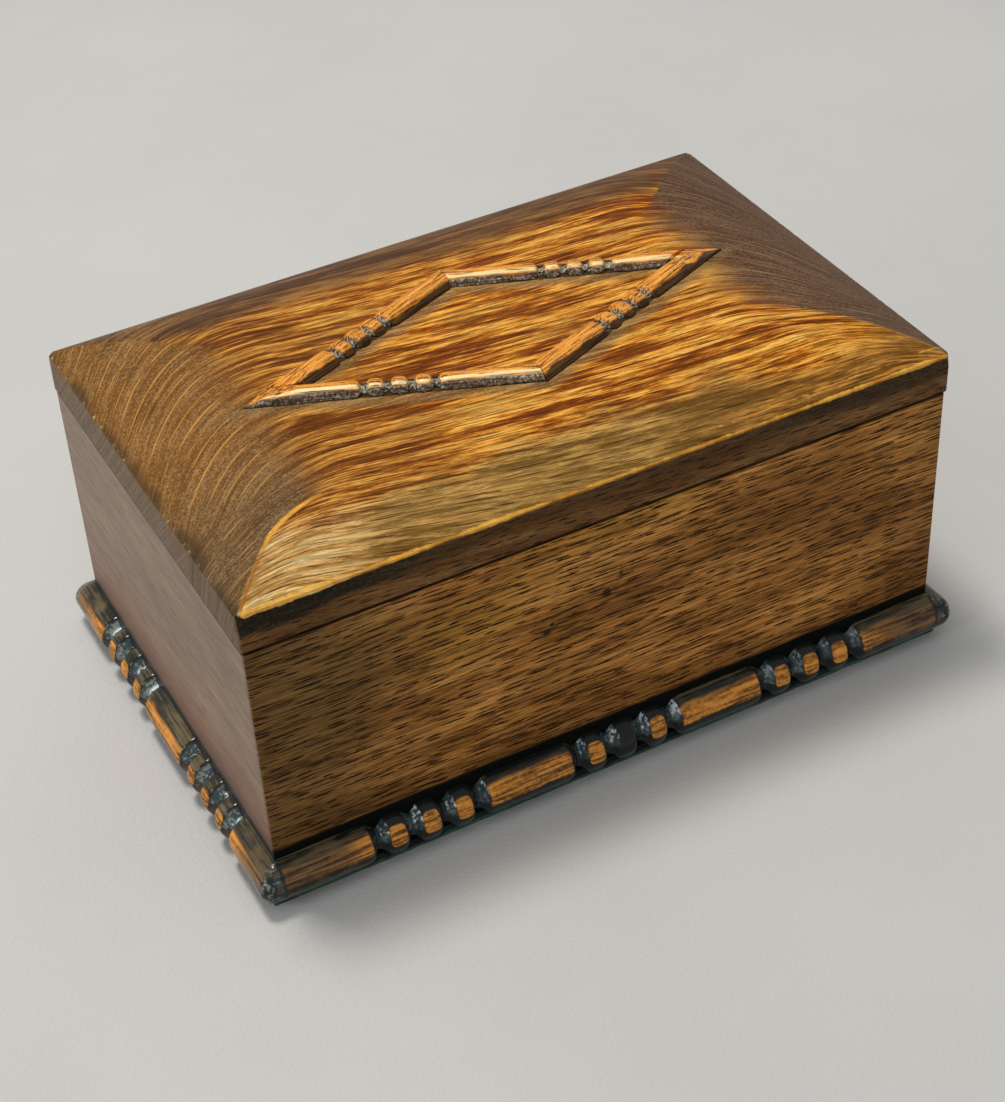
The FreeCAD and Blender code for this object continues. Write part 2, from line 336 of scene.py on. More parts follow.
class Finish:
    """One material, built from nodes, with places in millimetres."""

    def __init__(self, name, **constants):
        self.material = bpy.data.materials.new(name)
        self.material.use_nodes = True
        self.tree = self.material.node_tree
        self.tree.nodes.clear()
        self.output = self.tree.nodes.new("ShaderNodeOutputMaterial")
        self.surface = self.tree.nodes.new("ShaderNodeBsdfPrincipled")
        self.tree.links.new(self.surface.outputs[0], self.output.inputs["Surface"])
        for socket, value in constants.items():
            self.surface.inputs[socket.replace("_", " ")].default_value = value
        place = self.node("TexCoord", output="Object")
        self.place = self.node("VectorMath", {"operation": "SCALE"}, {0: place, "Scale": 1000.0})
        self.x, self.y, self.z = self.split(self.place)

    def node(self, kind, settings=None, inputs=None, output=0):
        """Add one node: its settings first, then the values or links of its sockets."""
        node = self.tree.nodes.new("ShaderNode" + kind)
        for name, value in (settings or {}).items():
            if name == "stops":
                self.set_stops(node.color_ramp, value)
            else:
                setattr(node, name, value)
        for key, value in (inputs or {}).items():
            if isinstance(value, Value):
                self.tree.links.new(value.socket, node.inputs[key])
            else:
                node.inputs[key].default_value = value
        return Value(self, node.outputs[output])

    @staticmethod
    def set_stops(ramp, stops):
        """Give a colour ramp its stops, each a place and a colour."""
        while len(ramp.elements) > 1:
            ramp.elements.remove(ramp.elements[-1])
        for index, (place, tint) in enumerate(stops):
            element = ramp.elements[0] if index == 0 else ramp.elements.new(place)
            element.position = place
            element.color = (*tint, 1)

    def sum(self, operation, a, b=0.0, clamp=False):
        """One Math node."""
        return self.node("Math", {"operation": operation, "use_clamp": clamp}, {0: a, 1: b})

    def split(self, vector):
        """The three numbers of a vector."""
        node = self.tree.nodes.new("ShaderNodeSeparateXYZ")
        self.tree.links.new(vector.socket, node.inputs[0])
        return [Value(self, socket) for socket in node.outputs]

    def join(self, x, y, z=0.0):
        """A vector of three numbers."""
        return self.node("CombineXYZ", inputs={0: x, 1: y, 2: z})

    def top(self, a, b):
        """The larger of two values."""
        return self.sum("MAXIMUM", a, b)

    def low(self, a, b):
        """The smaller of two values."""
        return self.sum("MINIMUM", a, b)

    def size_of(self, a):
        """A value without its sign."""
        return self.sum("ABSOLUTE", a)

    def step(self, value, start, end):
        """A soft mask from 0 at start to 1 at end."""
        return self.node(
            "MapRange",
            {"interpolation_type": "SMOOTHSTEP", "clamp": True},
            {"Value": value, "From Min": start, "From Max": end, "To Min": 0.0, "To Max": 1.0},
        )

    def noise(self, vector, sizes, detail=2.0, roughness=0.5, distortion=0.0, offset=0.0):
        """Soft noise from 0 to 1, with a feature size in millimetres on each axis."""
        scaled = self.node(
            "VectorMath",
            {"operation": "MULTIPLY_ADD"},
            {0: vector, 1: tuple(1 / size for size in sizes), 2: (offset, offset * 0.7, offset * 1.3)},
        )
        return self.node(
            "TexNoise",
            {"noise_dimensions": "3D"},
            {"Vector": scaled, "Scale": 1.0, "Detail": detail, "Roughness": roughness, "Distortion": distortion},
        )

    def dashes(self, along, across, pitch, spacing, half_length, half_width, offset=0.0, slack=0.55, scatter=0.9):
        """Short strokes, one to a cell: 1 in the middle of a stroke and 0 outside it."""
        place = self.join(along / pitch + offset, across / spacing + offset * 0.37)
        node = self.tree.nodes.new("ShaderNodeTexVoronoi")
        node.voronoi_dimensions = "2D"
        node.feature = "F1"
        node.inputs["Scale"].default_value = 1.0
        node.inputs["Randomness"].default_value = scatter
        self.tree.links.new(place.socket, node.inputs["Vector"])
        spot = Value(self, node.outputs["Position"])
        chance = Value(self, node.outputs["Color"])
        offcut = self.node("VectorMath", {"operation": "SUBTRACT"}, {0: place, 1: spot})
        dx, dy, _ = self.split(offcut)
        luck, more, _ = self.split(chance)
        reach = dx * (pitch / half_length)
        width = dy * (spacing / half_width)
        stretch = luck * (1 - slack) + slack
        far = self.sum("SQRT", (reach / stretch) ** 2 + (width / (more * 0.5 + 0.6)) ** 2)
        return self.step(far, 1.05, 0.55)

    def mix(self, a, b, mask):
        """Colour a where the mask is 0, colour b where it is 1."""
        ends = {6: a, 7: b}
        for key, value in ends.items():
            if not isinstance(value, Value):
                ends[key] = (*value[:3], 1)
        return self.node("Mix", {"data_type": "RGBA", "clamp_factor": True}, {0: mask, **ends}, output=2)

    def blend(self, a, b, mask, how):
        """Mix two colours with one of the blending ways."""
        ends = {6: a, 7: b}
        for key, value in ends.items():
            if not isinstance(value, Value):
                ends[key] = (*value[:3], 1)
        return self.node("Mix", {"data_type": "RGBA", "blend_type": how, "clamp_factor": True}, {0: mask, **ends}, output=2)

    def ramp(self, value, stops):
        """A colour for each value."""
        return self.node("ValToRGB", {"stops": stops}, {0: value})

    def facing(self):
        """The three parts of the surface's own direction."""
        return self.split(self.node("NewGeometry", output="Normal"))

    def wear(self, **sockets):
        """Link what changes over the surface."""
        for name, value in sockets.items():
            self.tree.links.new(value.socket, self.surface.inputs[name.replace("_", " ")])

    def bump(self, height, depth, strength=1.0):
        """Relief with a depth in millimetres."""
        bumped = self.node("Bump", inputs={"Strength": strength, "Distance": depth * MM, "Height": height})
        self.tree.links.new(bumped.socket, self.surface.inputs["Normal"])


def darker(tint, share):
    """A colour times a number."""
    return tuple(part * share for part in tint)


def oak_side(name, settings, along_y=False):
    """Stained oak of an upright board, with level rows of open pores."""
    oak = Finish(name)
    run = oak.y if along_y else oak.x
    depth = oak.x if along_y else oak.y
    sway = oak.noise(oak.place, (45, 45, 16), 1) - 0.5
    level_top = oak.step(oak.size_of(oak.facing()[2]), 0.6, 0.8)
    level = oak.z + run * 0.012 + sway * 1.8 + depth * level_top
    grain = oak.join(run, level, depth * 0.1)
    broad = oak.noise(grain, (36, 8, 20), 3, 0.6)
    fine = oak.noise(grain, (9, 0.5, 9), 3, 0.65, offset=3)
    brown, light, dark = tuple(settings.brown), tuple(settings.light), tuple(settings.pore)
    # The ends take their paler, greyer colours, which carry a painted sheen.
    if along_y:
        brown, light = tuple(settings.end_brown_and_sheen), tuple(settings.end_light_and_sheen)
    patch = oak.noise(oak.join(run, oak.z, depth), (50, 24, 30), 2, 0.5, offset=8)
    if along_y:
        oak.surface.inputs["Specular IOR Level"].default_value = 0.8
        tone = oak.step(broad * 0.4 + fine * 0.6, 0.36, 0.64)
        wood = oak.ramp(tone, [(0, darker(brown, 0.7)), (0.45, brown), (1, light)])
        long_pores = oak.dashes(run, level, 11, 1.7, 4.4, 0.15, slack=0.4)
        threads = oak.step(oak.noise(grain, (22, 0.55, 9), 2, 0.6, offset=17), 0.56, 0.66)
        marks = oak.top(long_pores * 0.5, threads * 0.3)
        wood = oak.mix(wood, darker(brown, 0.5), oak.step(patch, 0.5, 0.72) * 0.3)
        wood = oak.mix(wood, (0.24, 0.062, 0.018), oak.step(oak.z + (patch - 0.5) * 10, 34, 14) * 0.65)
        rough = fine * 0.2 + 0.36
    else:
        oak.surface.inputs["Specular IOR Level"].default_value = 0.06
        tone = oak.step(broad * 0.55 + fine * 0.45, 0.36, 0.64)
        wood = oak.ramp(tone, [(0, darker(brown, 0.55)), (0.42, brown), (0.8, light), (1, darker(light, 1.25))])
        wood = oak.mix(wood, darker(brown, 0.42), oak.step(patch, 0.5, 0.7) * 0.5)
        glow = oak.step(patch, 0.5, 0.34) * oak.step(oak.z, 24, 40)
        wood = oak.mix(wood, (0.58, 0.28, 0.045), glow * 0.5)
        ragged = (oak.noise(oak.place, (1.3, 1.3, 0.5), 2, 0.6, offset=25) - 0.5) * 0.55
        long_pores = oak.dashes(run, level + ragged * 0.8, 7.6, 1.5, 4.4, 0.24, slack=0.35, scatter=0.9)
        loose_pores = oak.step(oak.noise(oak.join(run, level + ragged * 0.4, depth * 0.1), (8.5, 0.48, 9), 2, 0.55, offset=7), 0.565, 0.615)
        threads = oak.step(oak.noise(grain, (14, 0.36, 9), 3, 0.65, offset=17), 0.5, 0.6)
        marks = oak.top(oak.top(long_pores, loose_pores * 0.75), threads * 0.42)
        wood = oak.mix(wood, (0.11, 0.066, 0.026), oak.step(oak.x + (patch - 0.5) * 40, -32, -74) * 0.74)
        wood = oak.mix(wood, (0.15, 0.085, 0.030), oak.step(oak.x, 64, 82) * 0.2)
        for x, z, size in ((-2.4, 48.4, 1.1), (-16.8, 44.0, 0.85), (1.1, 52.1, 0.6), (-15.6, 45.4, 0.5)):
            offcut = oak.join(oak.x - x, oak.z - z)
            far = oak.node("VectorMath", {"operation": "LENGTH"}, {0: offcut}, output="Value")
            spot = oak.step(far + (fine - 0.5) * 1.2, size * 1.5, size * 0.6) * oak.step(oak.y, 0, -1)
            marks = oak.top(marks, spot * 0.9)
        rough = fine * 0.2 + 0.44
    foot = oak.step(oak.z + (patch - 0.5) * 3, 23, 13)
    wood = oak.mix(wood, darker(brown, 0.22), foot * 0.5)
    # Painted shade and dirt: a black band on the board just above the moulding, in the crease where the two meet.
    black = oak.step(oak.z + (fine - 0.5) * 0.9, 14.6, 13.4)
    wood = oak.mix(oak.mix(wood, dark, marks), (0.003, 0.004, 0.003), black)
    rim = oak.step(oak.z, 66.9, 67.25)
    wood = oak.mix(wood, darker(dark, 0.8), rim * 0.85)
    oak.wear(Base_Color=wood, Roughness=rough)
    oak.bump(fine * 0.35 - marks, 0.16)
    return oak.material


def plain_wood(name, tint, along="x", roughness=0.45):
    """Bare wood with soft growth rings."""
    wood = Finish(name)
    wood.surface.inputs["Specular IOR Level"].default_value = 0.25
    sizes = {"x": (70, 5, 5), "y": (5, 70, 5)}[along]
    thin = {"x": (14, 0.5, 0.5), "y": (0.5, 14, 0.5)}[along]
    rings = wood.noise(wood.place, sizes, 3, 0.6, 0.6)
    fibre = wood.noise(wood.place, thin, 3, 0.6, offset=5)
    tone = wood.step(rings * 0.6 + fibre * 0.4, 0.36, 0.64)
    wood.wear(Base_Color=wood.mix(darker(tint, 0.62), tint, tone), Roughness=fibre * 0.25 + roughness)
    wood.bump(fibre, 0.08)
    return wood.material


def aged_brass(name, tint):
    """Brass gone dull and brown in places."""
    brass = Finish(name, Metallic=1.0)
    cloud = brass.noise(brass.place, (3, 3, 3), 4, 0.6)
    scratch = brass.noise(brass.place, (0.15, 6, 0.15), 2, 0.5, offset=4)
    tarnish = brass.step(cloud, 0.42, 0.68)
    brass.wear(Base_Color=brass.mix(tint, darker(tint, 0.35), tarnish), Roughness=cloud * 0.35 + 0.22)
    brass.bump(scratch * 0.5 + cloud * 0.5, 0.02)
    return brass.material


def turned_oak(name, settings, along_y, axis_out, axis_z):
    """Stained turning: blackened in the hollows, rubbed orange on its crests, with a grey wax film and painted sheen in
    the hollows, painted glints on the flanks and painted shade underneath and against the wall.
    """
    oak = Finish(name)
    oak.surface.inputs["Specular IOR Level"].default_value = 0.32
    pitch, spacing = settings.bead_pitch / MM, settings.group_spacing / MM
    rubbed = tuple(settings.rubbed)
    run = oak.y if along_y else oak.x
    out = oak.size_of(oak.x if along_y else oak.y) - axis_out
    rise = oak.z - axis_z
    upward = rise / oak.sum("SQRT", out * out + rise * rise + 0.01)
    turns = run / spacing + (1.0 if along_y else 0.5)
    in_group = oak.size_of((oak.sum("FRACT", turns + 20) - 0.5) * spacing)
    beads = oak.size_of(oak.sum("FRACT", in_group / pitch + 0.5) - 0.5)
    last = pitch * 1.5
    beyond = oak.sum("GREATER_THAN", in_group, last)
    from_cove = (0.5 - beads) * pitch * (1 - beyond) + (in_group - last) * beyond
    streak = oak.noise(oak.join(run, out, rise), (15, 0.7, 0.7), 3, 0.65)
    cloud = oak.noise(oak.place, (6, 6, 4), 2, 0.55, offset=2)
    fleck = oak.noise(oak.place, (0.9, 0.9, 0.9), 2, 0.6, offset=6)
    sway = (cloud - 0.5) * 0.9 + (fleck - 0.5) * 0.4
    end_start, end_stop = (38, 52) if along_y else (60, 72)
    corner = oak.step(oak.size_of(run) + sway * 12, end_start, end_stop)

    highest, lowest = (0.62, -0.1) if along_y else (0.78, -0.08)
    band = oak.step(upward + sway * 0.3, highest + 0.12, highest - 0.06) * oak.step(upward + sway * 0.3, lowest, lowest + 0.16)
    bobbin = band * oak.step(from_cove + sway * 0.8, 2.0, 2.5) * beyond
    middle = (highest + lowest) / 2
    oval = (beads * (pitch / 1.95)) ** 4 + (oak.size_of(upward - middle) / (highest - middle + 0.02)) ** 4
    bead = oak.step(oval + sway * 0.8, 1.15, 0.75) * (1 - beyond)
    rub = oak.top(bobbin * (1 - corner * 0.8), bead)
    if not along_y:
        plain_bead = oak.step(oak.size_of(run), 3.6, 3.0) * oak.step(oak.y, 0, -1)
        rub = rub * (1 - plain_bead)
    rub = rub * oak.step(streak, 0.22, 0.36)

    warm = oak.ramp(oak.step(streak * 0.75 + fleck * 0.25, 0.34, 0.68), [
        (0, darker(rubbed, 0.10)), (0.3, darker(rubbed, 0.5)), (0.58, rubbed), (1, tuple(min(1, part * 1.5 + 0.02) for part in rubbed)),
    ])
    crest = oak.step(from_cove + sway, 1.8, 2.4)
    stain = oak.step(streak * 0.55 + cloud * 0.45, 0.44, 0.62)
    dark = tuple(settings.dark)
    if along_y:
        dull = oak.mix(darker(dark, 1.5), (0.20, 0.145, 0.075), stain * oak.step(upward, 0.2, 0.7) * 0.85 + 0.08)
        dull = oak.mix(dull, (0.13, 0.055, 0.022), oak.step(upward, 0.15, -0.2) * 0.7)
    else:
        dull = oak.mix(dark, (0.070, 0.052, 0.024), stain * oak.step(upward, 0.5, 0.95) * beyond * 0.8)
    dull = oak.mix(dull, (0.15, 0.095, 0.042), corner * beyond * oak.step(streak * 0.6 + cloud * 0.4, 0.42, 0.58) * 0.7)
    ring = oak.step(oak.size_of(from_cove - 2.1), 0.55, 0.2)
    dull = oak.mix(dull, dark, ring * 0.9)

    # Painted sheen over a grey film of wax: grey with lighter flecks over the hollows' upper parts, a little stronger
    # on the flanks that face left on the long runs and front on the end runs.
    nx, ny, nz = oak.facing()
    flank = oak.step(ny * -1 if along_y else nx * -1, 0.15, 0.6) * oak.step(nz, -0.1, 0.35)
    bloom_and_sheen_mask = oak.step(cloud * 0.55 + fleck * 0.25 + flank * 0.2, 0.34, 0.56) * oak.step(from_cove, 2.2, 1.3) * oak.step(upward, -0.25, 0.3)
    bloom_and_sheen = tuple(settings.bloom_and_sheen)
    pale_bloom_and_sheen_mask = oak.step(fleck * 0.6 + cloud * 0.4 + flank * 0.06, 0.54, 0.62) * (0.85 if along_y else 0.3)
    dull = oak.mix(dull, oak.mix(bloom_and_sheen, (0.34, 0.38, 0.35) if along_y else (0.50, 0.56, 0.55), pale_bloom_and_sheen_mask), bloom_and_sheen_mask * 0.92)
    if along_y:
        glint = oak.step(oak.size_of(from_cove - 0.2), 0.7, 0.2) * oak.step(nz, 0.35, 0.6)
    else:
        glint = oak.step(nx * -1, 0.38, 0.55) * oak.step(nz, 0.38, 0.5) * oak.step(nz, 0.76, 0.62) * oak.step(oak.x, 60, -10)
        dull = oak.mix(dull, (0.155, 0.125, 0.070), oak.step(oak.size_of(out - 1.0), 0.45, 0.15) * oak.step(rise, 3, 4) * beyond * oak.step(streak, 0.44, 0.54) * 0.8)
    dull = oak.mix(dull, (0.95, 1.0, 1.0), glint * oak.step(cloud * 0.5 + fleck * 0.5, 0.46, 0.57) * oak.step(from_cove, 2.3, 1.9) * 0.85)
    wood = oak.mix(dull, warm, rub)

    tip_start, tip_stop = (53.0, 56.0) if along_y else (82.5, 86.0)
    tip = oak.step(oak.size_of(run) + sway * 2.5, tip_start, tip_stop)
    # The worn corners: black, with grey flecks of the wax film and painted sheen.
    worn = oak.mix((0.010, 0.013, 0.011), oak.mix(bloom_and_sheen, (0.26, 0.27, 0.23), fleck), oak.step(fleck * 0.6 + cloud * 0.4, 0.5, 0.6))
    wood = oak.mix(wood, worn, tip * 0.9)
    # Painted shade: near black on the underside next to the floor and on the back next to the case wall.
    wood = oak.mix(wood, (0.003, 0.004, 0.003), oak.step(oak.z + (fleck - 0.5) * 0.6, 3.0, 2.2))
    wood = oak.mix(wood, (0.006, 0.007, 0.006), oak.step(out, -3.0, -3.9) * 0.95)
    oak.wear(Base_Color=wood, Roughness=rub * 0.24 + cloud * 0.1 + 0.06)
    oak.bump((streak * 0.6 + fleck * 0.3) * (rub * 0.8 + 0.2) + cloud * 0.4, 0.26)
    return oak.material


def lid_oak(name, settings, tip_x, tip_y):
    """Worn oak of the lid: amber on the crown, darker on the slopes with painted shade on the back slope, bright on the
    worn arrises with painted highlights on the front arris, the front-left hip and the front slope's left end, a
    painted sheen on the edge's end faces, and painted shadow and shade round the lozenge bars.
    """
    oak = Finish(name)
    oak.surface.inputs["Specular IOR Level"].default_value = 0.07
    x, y, z = oak.x, oak.y, oak.z
    run = settings.slope_run / MM
    half_x, half_y = (LID_HIGH.x - LID_LOW.x) / 2 / MM, (LID_HIGH.y - LID_LOW.y) / 2 / MM
    middle_y = (LID_HIGH.y + LID_LOW.y) / 2 / MM
    arris_z = (LID_HIGH.z - settings.crown_rise) / MM
    down_left = run - half_x - x
    down_right = run - half_x + x
    down_front = run - half_y + middle_y - y
    down_back = run - half_y - middle_y + y
    left = oak.step(x, 4, -4)

    tall = LID_LOW.z / MM
    inside = oak.step(z, tall + 0.05, tall)
    end = oak.top(oak.size_of(x) - 45 - oak.top(down_front, 0), 0)
    ring = y + x * 0.1 - x * x * 0.00075 * (1 - inside) + end * end * (0.031 - left * 0.010) * (1 - inside)
    fall = oak.top(arris_z - 0.2 - z, 0)
    level = ring - fall
    grain = oak.join(x, level)
    broad = oak.noise(grain, (40, 4.6, 10), 3, 0.6)
    middling = oak.noise(grain, (17, 1.3, 10), 5, 0.72, offset=5)
    thread = oak.noise(grain, (8.5, 0.42, 10), 3, 0.65, offset=9)
    mottle = oak.noise(oak.place, (0.5, 0.5, 0.5), 3, 0.65)
    cloud = oak.noise(oak.place, (22, 11, 22), 2, 0.5, offset=4)
    sway = (cloud - 0.5) * 30 + (middling - 0.5) * 16
    tone = oak.step(broad * 0.35 + middling * 0.65, 0.41, 0.59)
    quiet = oak.step(middling * 0.35 + thread * 0.25 + mottle * 0.4, 0.39, 0.61)
    hair = oak.noise(grain, (5, 0.24, 10), 2, 0.6, offset=19)
    lines = oak.top(oak.step(thread, 0.54, 0.585), oak.step(hair, 0.54, 0.585) * 0.6)
    shine = oak.step(thread, 0.45, 0.38)

    crown = oak.ramp(tone, [
        (0, (0.18, 0.036, 0.002)), (0.25, (0.37, 0.092, 0.005)), (0.5, (0.66, 0.220, 0.016)),
        (0.75, (0.92, 0.37, 0.038)), (1, (1.0, 0.53, 0.10)),
    ])
    deep = oak.top(oak.step(x + sway * 0.5, -14, -46), oak.step(y + sway * 0.4, 22, 40))
    crown = oak.mix(crown, oak.ramp(tone, [(0, (0.14, 0.038, 0.003)), (0.5, (0.31, 0.095, 0.011)), (1, (0.66, 0.26, 0.034))]), deep * 0.85)
    crown = oak.mix(crown, (0.11, 0.024, 0.002), lines * 0.58)
    crown = oak.mix(crown, (1.0, 0.57, 0.115), shine * tone * 0.7)

    left_slope = oak.ramp(quiet, [(0, (0.14, 0.054, 0.009)), (0.5, (0.235, 0.104, 0.024)), (1, (0.42, 0.215, 0.075))])
    grey_front = oak.step(y + sway * 0.3, -5, -42)
    left_slope = oak.mix(left_slope, oak.ramp(quiet, [(0, (0.105, 0.050, 0.016)), (0.5, (0.17, 0.098, 0.040)), (1, (0.28, 0.18, 0.095))]), grey_front * 0.85)
    right_slope = oak.ramp(quiet, [(0, (0.065, 0.026, 0.012)), (0.5, (0.135, 0.066, 0.033)), (1, (0.24, 0.135, 0.072))])
    front_slope = oak.ramp(tone, [(0, (0.20, 0.095, 0.014)), (0.45, (0.36, 0.195, 0.045)), (1, (0.62, 0.34, 0.085))])
    far_front = oak.step(x + sway * 0.5, 5, 50)
    front_slope = oak.mix(front_slope, oak.ramp(tone, [(0, (0.17, 0.065, 0.006)), (0.45, (0.32, 0.135, 0.022)), (1, (0.64, 0.28, 0.050))]), far_front)
    # Painted highlight: the front slope turns light tan near the front-left corner, where the lamp's reflection falls,
    # with fewer dark lines and brighter streaks.
    corner_highlight = oak.step(x + down_front * 0.5 + sway * 0.35, -32, -60)
    corner_highlight_tan = oak.ramp(tone, [(0, (0.44, 0.21, 0.040)), (0.4, (0.84, 0.44, 0.125)), (1, (1.0, 0.73, 0.33))])
    front_slope = oak.mix(front_slope, corner_highlight_tan, corner_highlight * 0.95)
    front_slope = oak.mix(front_slope, (0.10, 0.048, 0.012), lines * (0.60 - corner_highlight * 0.14))
    front_slope = oak.mix(front_slope, (0.93, 0.58, 0.22), shine * corner_highlight * oak.step(down_front, 8, 20) * 0.6)
    # Painted shade: the back slope, which faces away from the lamp, is given darker colours.
    shaded_back_slope = oak.ramp(tone, [(0, (0.085, 0.032, 0.010)), (0.5, (0.145, 0.064, 0.024)), (1, (0.33, 0.15, 0.040))])

    short = oak.top(12.2 - down_front, 0)
    hip_left = down_left - down_front + short * short * 0.16
    melt = oak.step(down_front, 8.5, 3) * 7 + 0.7
    on_left = oak.low(oak.step(down_left + sway * 0.3, -11, 3), oak.step(hip_left / melt, -1, 1))
    on_left = oak.low(on_left, oak.step(down_left - down_back + (thread - 0.5) * 3, -1.0, 0.8))
    on_right = oak.low(oak.step(down_right + sway * 0.45, -12, 3), oak.step(down_right - down_front + (thread - 0.5) * 4, -1.0, 1.0))
    on_right = oak.low(on_right, oak.step(down_right - down_back, -0.7, 0.7))
    on_front = oak.step(down_front + sway * 0.45 - far_front * 4, 8, 15)
    on_back = oak.step(down_back + sway * 0.3, -1, 8)
    wood = oak.mix(crown, front_slope, on_front)
    wood = oak.mix(wood, shaded_back_slope, on_back)
    wood = oak.mix(wood, right_slope, on_right)
    wood = oak.mix(wood, left_slope, on_left)

    olive = oak.step(cloud * 0.6 + broad * 0.4, 0.52, 0.63) * (1 - on_left) * (1 - on_right)
    wood = oak.mix(wood, (0.22, 0.110, 0.026), olive * 0.35)

    pores = oak.dashes(x, level, 13, 1.6, 6.0, 0.16, slack=0.35)
    pores = pores * (1 - oak.top(on_left, on_right) * 0.85)
    wood = oak.mix(wood, (0.030, 0.009, 0.002), pores * 0.75)

    phase = level * 0.235 + (oak.noise(grain, (60, 9, 10), 1, 0.5, offset=12) - 0.5) * 1.5
    ridge = oak.size_of(oak.sum("FRACT", phase + 60) - 0.5)
    arc_patch = oak.step(oak.noise(oak.place, (10, 15, 9), 1, 0.5, offset=15), 0.44, 0.54)
    arc = oak.step(ridge + (mottle - 0.5) * 0.03, 0.062, 0.020) * arc_patch
    wood = oak.mix(wood, (0.66, 0.31, 0.062), arc * on_left * 0.85 * oak.step(down_left, 23, 18) * oak.step(down_left, -2, 4))
    veins = oak.step(oak.size_of(oak.sum("FRACT", phase * 1.7 + 60) - 0.5) + (mottle - 0.5) * 0.06, 0.10, 0.03)
    wood = oak.mix(wood, (0.40, 0.25, 0.15), veins * on_right * oak.step(thread, 0.44, 0.56) * 0.7)

    flecks = oak.dashes(x, y - x * 0.15, 2.4, 0.85, 0.75, 0.15, offset=2.2, slack=0.2)
    scatter = oak.step(oak.noise(oak.place, (9, 9, 9), 2, 0.6, offset=21), 0.46, 0.58)
    wood = oak.mix(wood, (0.52, 0.38, 0.21), flecks * scatter * oak.step(x, -44, -60) * 0.5)

    out = oak.size_of(x) / tip_x + oak.size_of(y - middle_y) / tip_y - 1
    away = out * (1 / math.hypot(1 / tip_x, 1 / tip_y))
    south = away * (1 - oak.step(y, middle_y - 0.5, middle_y + 0.5) * 2)
    # Painted shadow of the bars, strongest on their south sides, over a real grey film of wax and dirt on both sides.
    dust_and_bar_shadow = oak.step(oak.size_of(away) + (middling - 0.5) * 2, 4.0, 2.6) * 0.3
    dust_and_bar_shadow = oak.top(dust_and_bar_shadow, oak.step(oak.size_of(south - 3.4) + (cloud - 0.5) * 4 + (middling - 0.5) * 4, 3.4, 1.2))
    wood = oak.mix(wood, oak.ramp(quiet, [(0, (0.13, 0.072, 0.020)), (0.5, (0.24, 0.145, 0.055)), (1, (0.36, 0.24, 0.12))]), dust_and_bar_shadow * 0.7)
    # Painted shade: a near-black line where the bars sit on the lid.
    contact_shade = oak.step(oak.size_of(away) + (mottle - 0.5) * 0.8, 3.0, 2.6)
    wood = oak.mix(wood, (0.025, 0.015, 0.006), contact_shade * 0.85)

    # The front-left hip: a worn arris carrying a painted highlight, gold and brightest halfway down the slope.
    beside = oak.size_of(hip_left + 0.6) / oak.sum("SQRT", (short * 0.32 + 1) ** 2 + 1)
    broadness = oak.step(oak.size_of(down_front - 9), 6, 1) * 0.16 + 0.12
    hip_wear_and_highlight = oak.step(beside - broadness, 0.35, 0) * oak.step(down_front, 4.4, 7.6) * oak.step(x, 0, -10)
    hip_gold_wear_and_highlight = oak.mix((0.48, 0.17, 0.020), (1.0, 0.46, 0.060), oak.step(oak.size_of(down_front - 9), 7, 2))
    wood = oak.mix(wood, hip_gold_wear_and_highlight, hip_wear_and_highlight * 0.9)
    hip_right = oak.step(oak.size_of(down_right - down_front), 0.7, 0.15) * oak.step(down_front, 5, 10) * oak.step(x, 0, 10)
    wood = oak.mix(wood, (0.46, 0.24, 0.08), hip_right * oak.step(thread, 0.42, 0.56) * 0.8)

    lip = oak.node("VectorMath", {"operation": "LENGTH"}, {0: oak.join(y - LID_LOW.y / MM, z - arris_z)}, output="Value")
    along = oak.noise(oak.join(x, 0.0), (9, 9, 9), 4, 0.65, offset=31)
    # The front arris: rubbed gold wear with a painted highlight on it, wider and cream towards the front-left corner.
    near_tip = oak.step(x, -40, -80)
    width = along * 2.4 - 0.84 + near_tip * 0.45
    rubbed = oak.step(lip - width + (thread - 0.5) * 0.6, 0.22, -0.10)
    second = oak.step(oak.size_of(lip - 2.0 - along * 1.4), 0.26, 0.08) * oak.step(x, 0, 25) * oak.step(oak.noise(oak.join(x, 0.0), (5, 9, 9), 2, 0.5, offset=41), 0.46, 0.54)
    arris_wear_and_highlight = oak.mix((0.62, 0.22, 0.020), (1.0, 0.52, 0.080), oak.step(thread * 0.5 + along * 0.5, 0.42, 0.56))
    arris_wear_and_highlight = oak.mix(arris_wear_and_highlight, (1.0, 0.78, 0.38), near_tip * shine * 0.9)
    wood = oak.mix(wood, arris_wear_and_highlight, oak.top(rubbed, second * 0.8) * 0.92)

    end_lip = oak.node("VectorMath", {"operation": "LENGTH"}, {0: oak.join(oak.size_of(x) - half_x, z - arris_z)}, output="Value")
    specks = oak.step(end_lip, 0.8, 0.2) * oak.step(oak.noise(oak.join(y, 0.0), (2.2, 9, 9), 2, 0.7, offset=33), 0.57, 0.64)
    wood = oak.mix(wood, (0.66, 0.44, 0.16), specks * 0.9)
    grime = oak.step(down_left + (mottle - 0.5) * 5 + (cloud - 0.5) * 5, 22.2, 23.8) * oak.step(cloud * 0.7 + mottle * 0.3, 0.40, 0.50)
    wood = oak.mix(wood, (0.045, 0.033, 0.016), grime * 0.6 * on_left)

